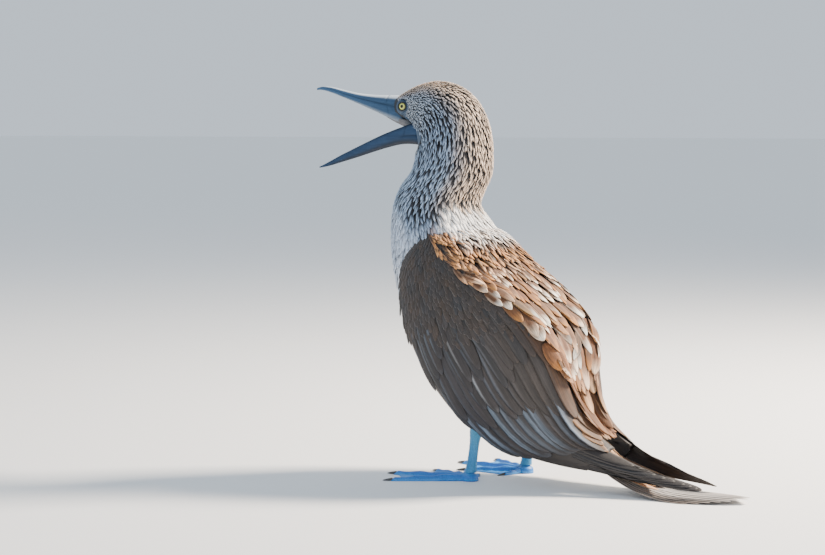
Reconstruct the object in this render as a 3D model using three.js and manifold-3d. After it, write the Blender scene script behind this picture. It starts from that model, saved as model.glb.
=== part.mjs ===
// Blue-footed booby (Sula nebouxii), a life-size still model of an adult male that stands upright and calls.
// Millimetres, +Z up, floor at z = 0. The bird faces -Y and its left side is +X.
import * as THREE from "three";
import { mergeVertices } from "three/addons/utils/BufferGeometryUtils.js";
import Module from "manifold-3d";

const wasm = await Module();
wasm.setup();

const { clamp, degToRad, lerp } = THREE.MathUtils;

// Driving sizes of the bird
const GAP = 0.3; // air between two parts that touch
const EYE = { x: 12.6, y: -101, z: 386.5, radius: 6.6 };
const HEEL_X = 38; // from the middle of the bird to each heel
const LEFT_HEEL_Y = 0;
const RIGHT_HEEL_Y = 20; // the right foot stands a little further back
const ANKLE_HEIGHT = 58;
const FOOT_HEIGHT = 9; // height at which the leg starts on the foot
const WEB_THICKNESS = 1.6;
const PRIMARIES = 6; // that show past the other feathers of a folded wing
const SECONDARIES = 10; // with the tertials
const TAIL_PAIRS = 6; // of tail feathers
const TAIL_ROOT_Y = 128; // where the tail feathers leave the rump
const TAIL_FLOOR_Y = 236; // and where they have come down to the floor

// Finish of each part
const finish = {
  bodyFeathers: { color: 0x6e5a4a, roughness: 0.85 },
  neckFeathers: { color: 0xb5a795, roughness: 0.85 },
  wingFeathers: { color: 0x4a3d35, roughness: 0.7 },
  tailFeathers: { color: 0x9a9490, roughness: 0.7 },
  bill: { color: 0x51677c, roughness: 0.45 },
  eye: { color: 0xd9d27a, roughness: 0.1 },
  blueSkin: { color: 0x3f8fd6, roughness: 0.5 },
  claw: { color: 0x4c4a48, roughness: 0.5 },
};

// Sections of the head, neck, torso and rump, from the forehead to the root of the tail. Each has a point on the
// back line and one on the belly line, as [y, z], the half-width, and how square its flank and its top are, where 2
// is an ellipse.
const TRUNK = [
  { back: [-116, 397], belly: [-111, 371], half: 14, flank: 2.3, top: 2.3 },
  { back: [-103, 403.5], belly: [-97, 367.5], half: 18.5, flank: 2.2, top: 2.2 },
  { back: [-86, 410], belly: [-88, 357], half: 22, flank: 2.1, top: 2.1 },
  { back: [-64, 413], belly: [-87, 346], half: 25.5, flank: 2.1, top: 2.1 },
  { back: [-39, 407], belly: [-88, 338], half: 29, flank: 2, top: 2 },
  { back: [-20, 392], belly: [-89, 331], half: 32, flank: 2, top: 2 },
  { back: [-8, 369], belly: [-90, 325], half: 35, flank: 2, top: 2 },
  { back: [-4, 341], belly: [-95, 314], half: 38, flank: 2, top: 2 },
  { back: [-6, 316], belly: [-106, 302], half: 42, flank: 2, top: 2 },
  { back: [-17, 298], belly: [-113, 286], half: 45, flank: 2, top: 2.1 },
  { back: [-23, 284], belly: [-116, 266], half: 48, flank: 2, top: 2.2 },
  { back: [-14, 269], belly: [-115, 240], half: 54, flank: 2, top: 2.4 },
  { back: [2, 249], belly: [-109, 206], half: 58, flank: 2.1, top: 2.6 },
  { back: [20, 228], belly: [-98, 170], half: 60, flank: 2.2, top: 2.8 },
  { back: [39, 208], belly: [-83, 137], half: 61, flank: 2.2, top: 3 },
  { back: [59, 187], belly: [-61, 108], half: 61, flank: 2.2, top: 3 },
  { back: [78, 162], belly: [-36, 88], half: 58, flank: 2.2, top: 3 },
  { back: [92, 135], belly: [-8, 73], half: 52, flank: 2.1, top: 2.8 },
  { back: [103, 109], belly: [22, 60], half: 44, flank: 2, top: 2.6 },
  { back: [113, 85], belly: [52, 48], half: 36, flank: 2, top: 2.4 },
  { back: [124, 65], belly: [80, 37], half: 29, flank: 2, top: 2.2 },
  { back: [134, 52], belly: [100, 30], half: 24, flank: 2, top: 2 },
  { back: [146, 40], belly: [124, 22], half: 20, flank: 2, top: 2 },
  { back: [160, 28], belly: [148, 14], half: 16, flank: 2, top: 2 },
  { back: [174, 19], belly: [168, 9], half: 12, flank: 2, top: 2 },
];
const HEAD_END = 5; // the section where the head meets the neck
const NECK_END = 10; // the one where the neck meets the torso
const TORSO_END = 21; // the one where the torso meets the root of the tail
const TAIL_END = TRUNK.length - 1;
const CUT = 0.015; // share of a section's step left open at each cut, about 0.3 mm

// The surface of the folded wings, from the shoulder to the wing tips. low and high are the angles round it of a
// wing's lower edge and of its edge on the back.
const FOLDED = [
  { back: [-20, 268], belly: [-92, 236], half: 50, flank: 2.1, top: 2.2, low: 2, high: 20 },
  { back: [6, 255], belly: [-105, 206], half: 63, flank: 2.1, top: 2.5, low: -20, high: 28 },
  { back: [26, 235], belly: [-101, 168], half: 71, flank: 2.2, top: 2.8, low: -28, high: 38 },
  { back: [48, 216], belly: [-88, 132], half: 75, flank: 2.3, top: 3, low: -34, high: 46 },
  { back: [70, 195], belly: [-69, 98], half: 76, flank: 2.3, top: 3.2, low: -37, high: 54 },
  { back: [94, 170], belly: [-47, 72], half: 74, flank: 2.3, top: 3.3, low: -40, high: 61 },
  { back: [107, 142], belly: [-23, 50], half: 69, flank: 2.3, top: 3.3, low: -40, high: 68 },
  { back: [112, 114], belly: [6, 31], half: 62, flank: 2.2, top: 3, low: -36, high: 74 },
  { back: [119, 89], belly: [44, 20], half: 54, flank: 2.2, top: 2.8, low: -34, high: 76 },
  { back: [133, 66], belly: [86, 14], half: 46, flank: 2.1, top: 2.6, low: -32, high: 75 },
  { back: [157, 48], belly: [126, 13], half: 40, flank: 2.1, top: 2.4, low: -30, high: 72 },
  { back: [186, 35], belly: [166, 13], half: 33, flank: 2, top: 2.2, low: -24, high: 66 },
  { back: [216, 26.5], belly: [206, 12.5], half: 27, flank: 2, top: 2, low: -14, high: 58 },
  { back: [242, 21], belly: [238, 12], half: 22, flank: 2, top: 2, low: -8, high: 50 },
  { back: [257, 17.5], belly: [256, 11.5], half: 18, flank: 2, top: 2, low: -4, high: 44 },
];

// Numbers from 'from' to 'to', with 'steps' equal steps between them.
const spread = (from, to, steps) => Array.from({ length: steps + 1 }, (_, i) => lerp(from, to, i / steps));

// Value at t from 0 to 1 on the smooth curve between b and c, with a before and d after them.
function smooth([a, b, c, d], t) {
  return b + 0.5 * t * (c - a + t * (2 * a - 5 * b + 4 * c - d + t * (3 * (b - c) + d - a)));
}

// Reads any number off a list of sections at a place between two of them, on a smooth curve.
function along(list, place, read) {
  const at = clamp(place, 0, list.length - 1);
  const i = Math.min(Math.floor(at), list.length - 2);
  return smooth([i - 1, i, i + 1, i + 2].map((k) => read(list[clamp(k, 0, list.length - 1)])), at - i);
}

// A point on a section: angle -90 is the belly, 0 the bird's left side, 90 the back. grow moves it outwards.
function sectionPoint(list, place, angle, grow = 0) {
  const read = (key, axis) => along(list, place, (s) => (axis === undefined ? s[key] : s[key][axis]));
  const back = new THREE.Vector2(read("back", 0), read("back", 1));
  const belly = new THREE.Vector2(read("belly", 0), read("belly", 1));
  const up = back.clone().sub(belly);
  const tall = up.length() / 2;
  const square = read(Math.sin(degToRad(angle)) > 0 ? "top" : "flank");
  const rounded = (x) => Math.sign(x) * Math.abs(x) ** (2 / square);
  const rise = (tall + grow) * rounded(Math.sin(degToRad(angle)));
  const middle = back.add(belly).multiplyScalar(0.5).addScaledVector(up.normalize(), rise);
  return new THREE.Vector3((read("half") + grow) * rounded(Math.cos(degToRad(angle))), middle.x, middle.y);
}

// The line across the folded wing at a place, from its lower edge to its edge on the back, with the distance of
// each of its points from the lower edge along it.
function wingLine(place) {
  const bands = 24;
  const [low, high] = ["low", "high"].map((key) => along(FOLDED, place, (s) => s[key]));
  const angles = spread(low, high, bands);
  const distances = [0];
  let before = sectionPoint(FOLDED, place, low);
  for (const angle of angles.slice(1)) {
    const point = sectionPoint(FOLDED, place, angle);
    distances.push(distances.at(-1) + point.distanceTo(before));
    before = point;
  }
  return { angles, distances, width: distances.at(-1) };
}

// A point on the folded wing, a distance up from its lower edge, lifted off it, and the direction out of it there.
function wingPoint(place, distance, lift = 0) {
  const { angles, distances, width } = wingLine(place);
  const at = clamp(distance, 0, width);
  const i = Math.max(1, distances.findIndex((d) => d >= at));
  const angle = lerp(angles[i - 1], angles[i], (at - distances[i - 1]) / (distances[i] - distances[i - 1]));
  const [step, turn] = [0.02, 1];
  const forward = sectionPoint(FOLDED, place + step, angle).sub(sectionPoint(FOLDED, place - step, angle));
  const round = sectionPoint(FOLDED, place, angle + turn).sub(sectionPoint(FOLDED, place, angle - turn));
  const outward = forward.cross(round.clone()).normalize();
  const point = sectionPoint(FOLDED, place, angle).addScaledVector(round.normalize(), distance - at);
  return { point: point.addScaledVector(outward, lift), outward };
}

// A geometry from points and triangles, with shared corners merged.
function geometryFrom(points, triangles) {
  const geometry = new THREE.BufferGeometry();
  const numbers = points.flatMap((p) => [p.x, p.y, p.z]);
  geometry.setAttribute("position", new THREE.Float32BufferAttribute(numbers, 3));
  geometry.setIndex(triangles.flat());
  return geometry;
}

// A closed body through rings of equal count, each end closed by a fan round its middle.
function lofted(rings) {
  const count = rings[0].length;
  const points = rings.flat();
  const triangles = [];
  for (let k = 0; k + 1 < rings.length; k++) {
    for (let i = 0; i < count; i++) {
      const [a, b] = [k * count + i, k * count + ((i + 1) % count)];
      triangles.push([a, b, b + count], [a, b + count, a + count]);
    }
  }
  for (const end of [0, rings.length - 1]) {
    const middle = rings[end].reduce((sum, p) => sum.add(p), new THREE.Vector3()).divideScalar(count);
    const hub = points.push(middle) - 1;
    for (let i = 0; i < count; i++) {
      const [a, b] = [end * count + i, end * count + ((i + 1) % count)];
      triangles.push(end === 0 ? [hub, b, a] : [hub, a, b]);
    }
  }
  return geometryFrom(points, triangles);
}

// A closed plate between two grids of equal size, split into the same triangles on both faces.
function plate(outer, inner) {
  const [rows, columns] = [outer.length, outer[0].length];
  const under = rows * columns;
  const triangles = [];
  const quad = (a, b, c, d) => triangles.push([a, b, c], [a, c, d]);
  for (let r = 0; r + 1 < rows; r++) {
    for (let c = 0; c + 1 < columns; c++) {
      const a = r * columns + c;
      const [b, d, e] = [a + 1, a + columns, a + columns + 1];
      quad(a, b, e, d);
      triangles.push([a + under, e + under, b + under], [a + under, d + under, e + under]);
    }
  }
  const wall = (a, b) => quad(b, a, a + under, b + under);
  const last = (rows - 1) * columns;
  for (let c = 0; c + 1 < columns; c++) {
    wall(c, c + 1);
    wall(last + c + 1, last + c);
  }
  for (let r = 0; r + 1 < rows; r++) {
    wall((r + 1) * columns, r * columns);
    wall(r * columns + columns - 1, (r + 1) * columns + columns - 1);
  }
  return geometryFrom([...outer.flat(), ...inner.flat()], triangles);
}

// A closed geometry as a solid with its faces pointing out.
function solid(geometry) {
  const bare = geometry.clone();
  bare.deleteAttribute("normal");
  bare.deleteAttribute("uv");
  const merged = mergeVertices(bare, 1e-4);
  const vertProperties = merged.attributes.position.array;
  const triVerts = new Uint32Array(merged.index.array);
  const made = new wasm.Manifold(new wasm.Mesh({ numProp: 3, vertProperties, triVerts }));
  if (made.volume() > 0) return made;
  return new wasm.Manifold(new wasm.Mesh({ numProp: 3, vertProperties, triVerts: triVerts.toReversed() }));
}

const union = (solids) => wasm.Manifold.union(solids);

// Takes out the very short edges and the flat slivers that a join leaves where faces cross at a shallow angle.
function cleaned(points, triangles) {
  const [short, flat, passes] = [0.06, 0.03, 6];
  let faces = triangles;
  for (let pass = 0; pass < passes; pass++) {
    const touching = points.map(() => []);
    faces.forEach((face) => face.forEach((corner) => touching[corner].push(face)));
    const around = (corner) => new Set(touching[corner].flat().filter((other) => other !== corner));
    const moved = new Set();
    for (const face of faces) {
      const sides = [0, 1, 2].map((i) => [face[i], face[(i + 1) % 3]]);
      const lengths = sides.map(([a, b]) => points[a].distanceTo(points[b]));
      if (face.some((corner) => [...around(corner)].some((other) => moved.has(other)) || moved.has(corner))) continue;
      const [a, b] = sides[lengths.indexOf(Math.min(...lengths))];
      if (points[a].distanceTo(points[b]) < short) {
        const nearB = around(b);
        if ([...around(a)].filter((other) => nearB.has(other)).length !== 2) continue;
        touching[b].forEach((other) => other.splice(other.indexOf(b), 1, a));
        [a, ...nearB].forEach((corner) => moved.add(corner));
        continue;
      }
      const longest = lengths.indexOf(Math.max(...lengths));
      const [p, q] = sides[longest];
      const apex = face[(longest + 2) % 3];
      const area = points[q].clone().sub(points[p]).cross(points[apex].clone().sub(points[p])).length() / 2;
      if ((2 * area) / lengths[longest] > flat) continue;
      const across = touching[p].find((other) => other !== face && other.includes(q));
      const far = across.find((corner) => corner !== p && corner !== q);
      if (around(apex).has(far)) continue;
      face.splice(0, 3, apex, p, far);
      across.splice(0, 3, apex, far, q);
      [p, q, apex, far].forEach((corner) => moved.add(corner));
    }
    faces = faces.filter(([a, b, c]) => a !== b && b !== c && c !== a);
  }
  return faces;
}

// Moves each corner that lies at the very place of another a little towards the middle of its neighbours.
function parted(points, triangles) {
  const [share, taken] = [0.02, new Set()];
  points.forEach((point, corner) => {
    const place = point.toArray().map((x) => x.toFixed(3)).join();
    if (taken.has(place)) {
      const near = triangles.filter((face) => face.includes(corner)).flat();
      const middle = near.reduce((sum, other) => sum.add(points[other]), new THREE.Vector3()).divideScalar(near.length);
      point.lerp(middle, share);
    }
    taken.add(place);
  });
  return points;
}

// The largest closed surface of a solid, as a geometry.
function geometryOf(made) {
  const largest = made.decompose().reduce((best, body) => (body.volume() > best.volume() ? body : best));
  const { numVert, numTri, numProp, vertProperties, triVerts } = largest.getMesh();
  const points = Array.from({ length: numVert }, (_, i) => new THREE.Vector3().fromArray(vertProperties, i * numProp));
  const triangles = Array.from({ length: numTri }, (_, i) => Array.from(triVerts.subarray(3 * i, 3 * i + 3)));
  const faces = cleaned(points, triangles);
  return geometryFrom(parted(points, faces), faces).toNonIndexed();
}

const bird = new THREE.Group();

// Adds one named part. mirrored turns a left-hand shape into the right-hand one.
function addPart(name, made, look, { mirrored = false, at = [0, 0, 0] } = {}) {
  const geometry = geometryOf(made);
  geometry.computeVertexNormals();
  const mesh = new THREE.Mesh(geometry, new THREE.MeshStandardMaterial({ metalness: 0, ...finish[look] }));
  mesh.name = name;
  mesh.position.set(...at);
  mesh.scale.x = mirrored ? -1 : 1;
  bird.add(mesh);
}

// A stretch of the head, neck, torso or tail root, round its whole section.
function trunkStretch(from, to, rings, grow = 0) {
  const around = 28;
  const angles = spread(-90, 270, around).slice(0, -1);
  return solid(lofted(spread(from, to, rings).map((place) => angles.map((a) => sectionPoint(TRUNK, place, a, grow)))));
}

// Head, with a socket for each eye and a raised lid round it.
function makeHead() {
  const lidThickness = 1.25;
  const lidRadius = EYE.radius * 0.86;
  const skull = trunkStretch(0, HEAD_END, 13);
  const lids = [];
  const sockets = [];
  for (const [name, x] of [["left_eye", EYE.x], ["right_eye", -EYE.x]]) {
    const lid = new THREE.TorusGeometry(lidRadius, lidThickness, 5, 16);
    lid.rotateY(Math.PI / 2).translate(x + Math.sign(x) * EYE.radius * 0.62, EYE.y, EYE.z);
    lids.push(solid(lid));
    const socket = new THREE.SphereGeometry(EYE.radius + GAP, 14, 9);
    sockets.push(solid(socket.rotateZ(Math.PI / 2).translate(x, EYE.y, EYE.z)));
    const ball = new THREE.SphereGeometry(EYE.radius, 14, 9);
    addPart(name, solid(ball.rotateZ(Math.PI / 2)), "eye", { at: [x, EYE.y, EYE.z] });
  }
  addPart("head", union([skull, ...lids]).subtract(union(sockets)), "neckFeathers");
}

// Sections of the bill: y, the heights of its ridge and of its cutting edges, and the half-width between those.
const UPPER_BILL = [
  { y: -104, ridge: 396, edge: 369.4, half: 14.6 },
  { y: -118, ridge: 397.4, edge: 373.6, half: 13.2 },
  { y: -134, ridge: 398, edge: 379.4, half: 11.6 },
  { y: -152, ridge: 399, edge: 385.6, half: 9.4 },
  { y: -170, ridge: 401, edge: 391.4, half: 7.2 },
  { y: -188, ridge: 404.4, edge: 397, half: 5.2 },
  { y: -205, ridge: 408, edge: 402.2, half: 3.6 },
  { y: -218, ridge: 409.2, edge: 405, half: 2.3 },
  { y: -227, ridge: 407.6, edge: 405.4, half: 0.9 },
];
const LOWER_BILL = [
  { y: -78, ridge: 344, edge: 371, half: 16.5 },
  { y: -94, ridge: 347.4, edge: 367.4, half: 15.6 },
  { y: -112, ridge: 347.4, edge: 362.6, half: 13.4 },
  { y: -132, ridge: 343.6, edge: 356.4, half: 11.2 },
  { y: -152, ridge: 338.4, edge: 349.4, half: 9 },
  { y: -172, ridge: 332.8, edge: 342, half: 6.8 },
  { y: -192, ridge: 327.6, edge: 334.4, half: 4.6 },
  { y: -210, ridge: 322.9, edge: 327, half: 2.4 },
  { y: -224, ridge: 320.4, edge: 321.6, half: 0.8 },
];

// One half of the bill: rounded outside, a groove along each side, and a hollow between the cutting edges.
function billHalf(list, hollow) {
  const [steps, facets, fullness] = [12, 12, 0.8];
  const grooveAt = [3, 9]; // of the facets from one cutting edge to the other
  const grooveDepth = 0.06;
  const floor = [[-0.72, 0.55], [-0.3, 1], [0.3, 1], [0.72, 0.55]]; // across, deep
  const rings = spread(0, list.length - 1, steps).map((place) => {
    const [y, ridge, edge, half] = ["y", "ridge", "edge", "half"].map((key) => along(list, place, (s) => s[key]));
    const outside = spread(0, Math.PI, facets).map((turn, i) => {
      const out = grooveAt.includes(i) ? 1 - grooveDepth : 1;
      return new THREE.Vector3(out * half * Math.cos(turn), y, edge + out * (ridge - edge) * Math.sin(turn) ** fullness);
    });
    const inside = floor.map(([x, deep]) => new THREE.Vector3(x * half, y, edge + (ridge - edge) * hollow * deep));
    return [...outside, ...inside];
  });
  return solid(lofted(rings));
}

function makeBill() {
  const [upperHollow, lowerHollow] = [0.22, 0.45];
  const face = trunkStretch(0, HEAD_END, 13, GAP);
  addPart("upper_bill", billHalf(UPPER_BILL, upperHollow).subtract(face), "bill");
  addPart("lower_bill", billHalf(LOWER_BILL, lowerHollow).subtract(face), "bill");
}

// A leg: a feathered thigh, a bare tarsus and a foot with four toes in one web, each toe with its claw. The shapes
// are of a left leg with its heel at y = 0, and side is 1 for the left and -1 for the right.
const TOES = [
  { name: "hind", turn: -72, length: 30, width: 6, height: 6 },
  { name: "inner", turn: -24, length: 66, width: 7.5, height: 7 },
  { name: "middle", turn: 8, length: 88, width: 8, height: 7.5 },
  { name: "outer", turn: 36, length: 82, width: 8, height: 7 },
];
const toeDirection = (turn) => new THREE.Vector2(Math.sin(degToRad(turn)), -Math.cos(degToRad(turn)));

// A round limb through stops of [x, y, z, half across, half deep].
function limb(stops, steps, around = 12) {
  const rings = spread(0, stops.length - 1, steps).map((place) => {
    const [x, y, z, wide, deep] = [0, 1, 2, 3, 4].map((k) => along(stops, place, (s) => s[k]));
    return spread(0, 2 * Math.PI, around)
      .slice(0, -1)
      .map((turn) => new THREE.Vector3(x + wide * Math.cos(turn), y + deep * Math.sin(turn), z));
  });
  return solid(lofted(rings));
}

// Stops down the thigh and the tarsus, from inside the belly to the foot.
const thighStops = (grow) => [
  [34, 34, 118, 23 + grow, 30 + grow],
  [36, 28, 98, 19 + grow, 24 + grow],
  [37.5, 19, 80, 13 + grow, 15 + grow],
  [HEEL_X, 11, 66, 8 + grow, 9 + grow],
  [HEEL_X, 8.5, ANKLE_HEIGHT + GAP / 2, 6.2 + grow, 7.4 + grow],
];
const TARSUS_STOPS = [
  [HEEL_X, 8.5, ANKLE_HEIGHT - GAP / 2, 5.9, 7.2],
  [HEEL_X, 7.6, 52, 5.8, 7.4],
  [HEEL_X, 5.6, 42, 4.3, 5.6],
  [HEEL_X, 3.6, 28, 4, 5.3],
  [HEEL_X, 1.6, 16, 4.6, 5.8],
  [HEEL_X, 0.4, FOOT_HEIGHT + GAP, 5.6, 6.6],
];

function toe({ turn, length, width, height }) {
  const [steps, knuckles] = [9, 3];
  const direction = toeDirection(turn);
  const rings = spread(0, 1, steps).map((t) => {
    const knuckle = 1 + 0.1 * Math.cos(2 * Math.PI * knuckles * t);
    const [half, tall] = [(width / 2) * lerp(1.1, 0.62, t) * knuckle, height * lerp(1.1, 0.5, t) * knuckle];
    const centre = direction.clone().multiplyScalar(length * t);
    const section = [[-1, 0], [-0.85, 0.65], [0, 1], [0.85, 0.65], [1, 0]];
    return section.map(([x, z]) => {
      return new THREE.Vector3(HEEL_X + centre.x - direction.y * x * half, centre.y + direction.x * x * half, z * tall);
    });
  });
  return solid(lofted(rings));
}

// The web, a thin sheet on the floor from toe to toe, its free edges curved in between them.
function web() {
  const tips = TOES.map(({ turn, length }) => toeDirection(turn).multiplyScalar(length * 0.97));
  const outline = new THREE.Shape().moveTo(-3, 4).lineTo(tips[0].x, tips[0].y);
  tips.slice(1).forEach((tip, i) => {
    const pull = tip.clone().add(tips[i]).multiplyScalar(0.43);
    outline.quadraticCurveTo(pull.x, pull.y, tip.x, tip.y);
  });
  outline.lineTo(4, 4);
  const sheet = new THREE.ExtrudeGeometry(outline, { depth: WEB_THICKNESS, bevelEnabled: false, curveSegments: 8 });
  return solid(sheet.translate(HEEL_X, 0, 0));
}

// A claw that curves down in front of its toe.
function claw({ turn, length, width, height }) {
  const [reach, steps, around] = [8.5, 5, 6];
  const direction = toeDirection(turn);
  const base = { half: (width / 2) * 0.55, tall: height * 0.46 };
  const rings = spread(0, 1, steps).map((t) => {
    const size = Math.sqrt(1 - t * 0.985);
    const centre = direction.clone().multiplyScalar(length + GAP + reach * t);
    const rise = lerp(base.tall * 0.55, 0.75, t ** 1.5);
    return spread(0, 2 * Math.PI, around)
      .slice(0, -1)
      .map((a) => {
        const across = base.half * size * Math.cos(a);
        const z = Math.max(0.15, rise + base.tall * 0.5 * size * Math.sin(a));
        return new THREE.Vector3(HEEL_X + centre.x - direction.y * across, centre.y + direction.x * across, z);
      });
  });
  return solid(lofted(rings));
}

function heelPad() {
  return limb([[HEEL_X, 0.5, 0, 7.5, 8.5], [HEEL_X, 0.4, 5, 7, 8], [HEEL_X, 0.4, FOOT_HEIGHT, 5.6, 6.6]], 4);
}

function makeLeg(side, heelY, body) {
  const name = side > 0 ? "left" : "right";
  const place = { mirrored: side < 0, at: [0, heelY, 0] };
  const thigh = limb(thighStops(0), 8).subtract(body.translate(0, -heelY, 0));
  addPart(`${name}_thigh`, thigh, "bodyFeathers", place);
  addPart(`${name}_tarsus`, limb(TARSUS_STOPS, 10), "blueSkin", place);
  addPart(`${name}_foot`, union([web(), heelPad(), ...TOES.map(toe)]), "blueSkin", place);
  TOES.forEach((shape) => addPart(`${name}_${shape.name}_claw`, claw(shape), "claw", place));
}

// The rows of a feather from its root to its tip: how far along it, and how wide, as a share of its width.
const VANE_ROWS = [
  { t: 0, wide: 0.6 },
  { t: 0.16, wide: 0.85 },
  { t: 0.3, wide: 0.95 },
  { t: 0.44, wide: 1 },
  { t: 0.58, wide: 1 },
  { t: 0.72, wide: 0.95 },
  { t: 0.88, wide: 0.74 },
  { t: 1, wide: 0.18 },
];

// A feather as a thin tapered plate. surface gives { point, outward } at t along it and x across it, -1 to 1, for a
// share of its full width there.
function vane(surface, thick) {
  const face = (side) =>
    VANE_ROWS.map(({ t, wide }) =>
      [-1, 0, 1].map((x) => {
        const { point, outward } = surface(t, x, wide);
        return point.addScaledVector(outward, (side * thick) / 2);
      }),
    );
  return solid(plate(face(1), face(-1)));
}

const VANE_THICKNESS = 0.6;

// The long feathers of the hand. They come out from under the others in layers, the outermost lowest. k runs from 0
// for that one, the longest, to 1 for the one nearest the bird's middle.
function primary(k) {
  const [width, rootPlace, layers] = [11, 7.4, 4.7];
  const [root, tip] = [lerp(10, 62, k), lerp(3, 13, k)];
  return vane((t, x, wide) => {
    const place = lerp(rootPlace, lerp(14, 11.8, k), t);
    return wingPoint(place, lerp(root, tip, t) + (x * wide * width) / 2, -0.7 - layers * (1 - k));
  }, VANE_THICKNESS);
}

// The feathers of the forearm and, nearest the back, of the upper arm. They lie like tiles, each with its lower edge
// over the next one down. k runs from 0 at the lower edge of the wing to 1 at the back.
function secondary(k, spacing) {
  const [lift, sunk, tilt, overlap] = [1.8, -2, 0.65, 1.22];
  const last = 0.72; // k of the feather that reaches furthest
  const tip = k < last ? lerp(8.3, 10.3, k / last) : lerp(10.3, 9.5, (k - last) / (1 - last));
  return vane((t, x, wide) => {
    const place = lerp(lerp(4.4, 6, k), tip, t);
    const { width } = wingLine(place);
    const across = x * wide * 0.5 * overlap * spacing * width;
    const height = lerp(sunk, lift, Math.min(1, t / VANE_ROWS[1].t)) + x * -tilt;
    return wingPoint(place, lerp(0.03, 0.97, k) * width + across, height);
  }, VANE_THICKNESS);
}

// The left wing: the arm with the bases of its feathers, a curved slab against the body, and the feathers over it.
function makeWing(body) {
  const [steps, bands, depth, armStart, armEnd] = [14, 7, 20, 0.5, 9.6];
  const grid = (inward) =>
    spread(armStart, armEnd, steps).map((place) => {
      const fade = Math.min(1, (armEnd - place) / 3 + 0.1);
      return spread(0, 1, bands).map((k) => {
        const thin = Math.min(1, 0.2 + 3 * Math.min(k, 1 - k));
        return wingPoint(place, k * wingLine(place).width, -inward * fade * thin).point;
      });
    });
  const arm = solid(plate(grid(0), grid(depth)));
  const primaries = spread(0, 1, PRIMARIES - 1).map(primary);
  const secondaries = spread(0, 1, SECONDARIES - 1).map((k) => secondary(k, 1 / (SECONDARIES - 1)));
  return union([arm, ...primaries, ...secondaries]).subtract(body);
}

// Height of the tail over the floor at y: it comes down from the rump and then lies flat.
function tailHeight(y) {
  const rootHeight = 36;
  return rootHeight * clamp((TAIL_FLOOR_Y - y) / (TAIL_FLOOR_Y - TAIL_ROOT_Y), 0, 1) ** 2;
}

// A tail feather of one side, from 0 for the outermost, which lies lowest, to 1 for the middle one, on top.
function tailVane(side, index) {
  const [width, thick, pitch, rootSpread, fan] = [15, 0.65, 0.95, 19, 6];
  const crossing = 4; // the feathers from this one on also lie over those of the other side
  const k = (TAIL_PAIRS - 0.5 - index) / (TAIL_PAIRS - 0.5);
  const level = index < crossing ? index : 2 * index - crossing + (side < 0 ? 1 : 0);
  const length = lerp(172, 122, k ** 1.3);
  const turn = degToRad(fan * k * side);
  return vane((t, x, wide) => {
    const y = TAIL_ROOT_Y + length * t * Math.cos(turn);
    const across = side * rootSpread * k + length * t * Math.sin(turn) + (x * wide * width) / 2;
    const height = tailHeight(y) + thick / 2 + level * pitch;
    return { point: new THREE.Vector3(across, y, height), outward: new THREE.Vector3(0, 0, 1) };
  }, thick);
}

function makeTail() {
  const root = trunkStretch(TORSO_END + CUT, TAIL_END, 5);
  const torso = trunkStretch(NECK_END, TORSO_END, 22, GAP);
  const feathers = [1, -1].flatMap((side) => spread(0, TAIL_PAIRS - 1, TAIL_PAIRS - 1).map((i) => tailVane(side, i)));
  return union([root, ...feathers]).subtract(torso);
}

makeHead();
makeBill();
addPart("neck", trunkStretch(HEAD_END + CUT, NECK_END, 10), "neckFeathers");
addPart("torso", trunkStretch(NECK_END + CUT, TORSO_END, 22), "bodyFeathers");
addPart("tail", makeTail(), "tailFeathers");

const bodyWithAir = trunkStretch(NECK_END, TAIL_END, 26, GAP);
makeLeg(1, LEFT_HEEL_Y, bodyWithAir);
makeLeg(-1, RIGHT_HEEL_Y, bodyWithAir);

// Each wing stays clear of the body and of the thighs, of which the right one stands further back.
const thighsWithAir = [LEFT_HEEL_Y, RIGHT_HEEL_Y].map((y) => limb(thighStops(GAP), 8).translate(0, y, 0));
const wing = makeWing(union([bodyWithAir, ...thighsWithAir]));
addPart("left_wing", wing, "wingFeathers");
addPart("right_wing", wing, "wingFeathers", { mirrored: true });

// The origin is on the floor, under the middle of the whole bird.
bird.updateMatrixWorld(true);
const reach = new THREE.Box3().setFromObject(bird, true);
bird.position.set(-(reach.min.x + reach.max.x) / 2, -(reach.min.y + reach.max.y) / 2, -reach.min.z);

export default bird;
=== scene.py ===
# %% [markdown]
# # A blue-footed booby, dressed over its measured solids
# The solids give the bird's size and stance. This notebook gives it its looks: a skin, several thousand feathers
# laid over it in the order in which a real bird wears them, a horn bill, glossy eyes and scaly blue feet.
# Every shape is worked out with numpy as whole arrays, in the millimetres of the solids.

import bpy
import numpy as np
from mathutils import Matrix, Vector


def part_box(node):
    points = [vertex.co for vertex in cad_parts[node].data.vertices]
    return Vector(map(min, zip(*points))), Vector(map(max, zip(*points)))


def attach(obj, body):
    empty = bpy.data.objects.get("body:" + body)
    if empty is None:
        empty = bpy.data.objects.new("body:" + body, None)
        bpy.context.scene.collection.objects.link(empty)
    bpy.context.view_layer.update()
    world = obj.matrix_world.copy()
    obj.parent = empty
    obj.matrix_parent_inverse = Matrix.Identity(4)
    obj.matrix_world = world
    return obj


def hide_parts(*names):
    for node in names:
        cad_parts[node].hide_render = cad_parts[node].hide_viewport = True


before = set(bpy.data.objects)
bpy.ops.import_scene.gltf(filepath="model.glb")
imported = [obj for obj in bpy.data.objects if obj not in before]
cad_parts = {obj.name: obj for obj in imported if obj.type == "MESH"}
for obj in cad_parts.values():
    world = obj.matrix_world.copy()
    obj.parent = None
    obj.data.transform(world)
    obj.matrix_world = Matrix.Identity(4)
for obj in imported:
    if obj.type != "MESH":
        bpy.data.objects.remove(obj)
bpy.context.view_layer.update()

# %% [markdown]
# ## One drawing for solids and looks
# The bird faces -Y and its left side is +X. The drawing has its zero under the left heel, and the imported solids
# have theirs under the middle of the bird. The left eye is in both, so it gives the step from one to the other.

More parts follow.
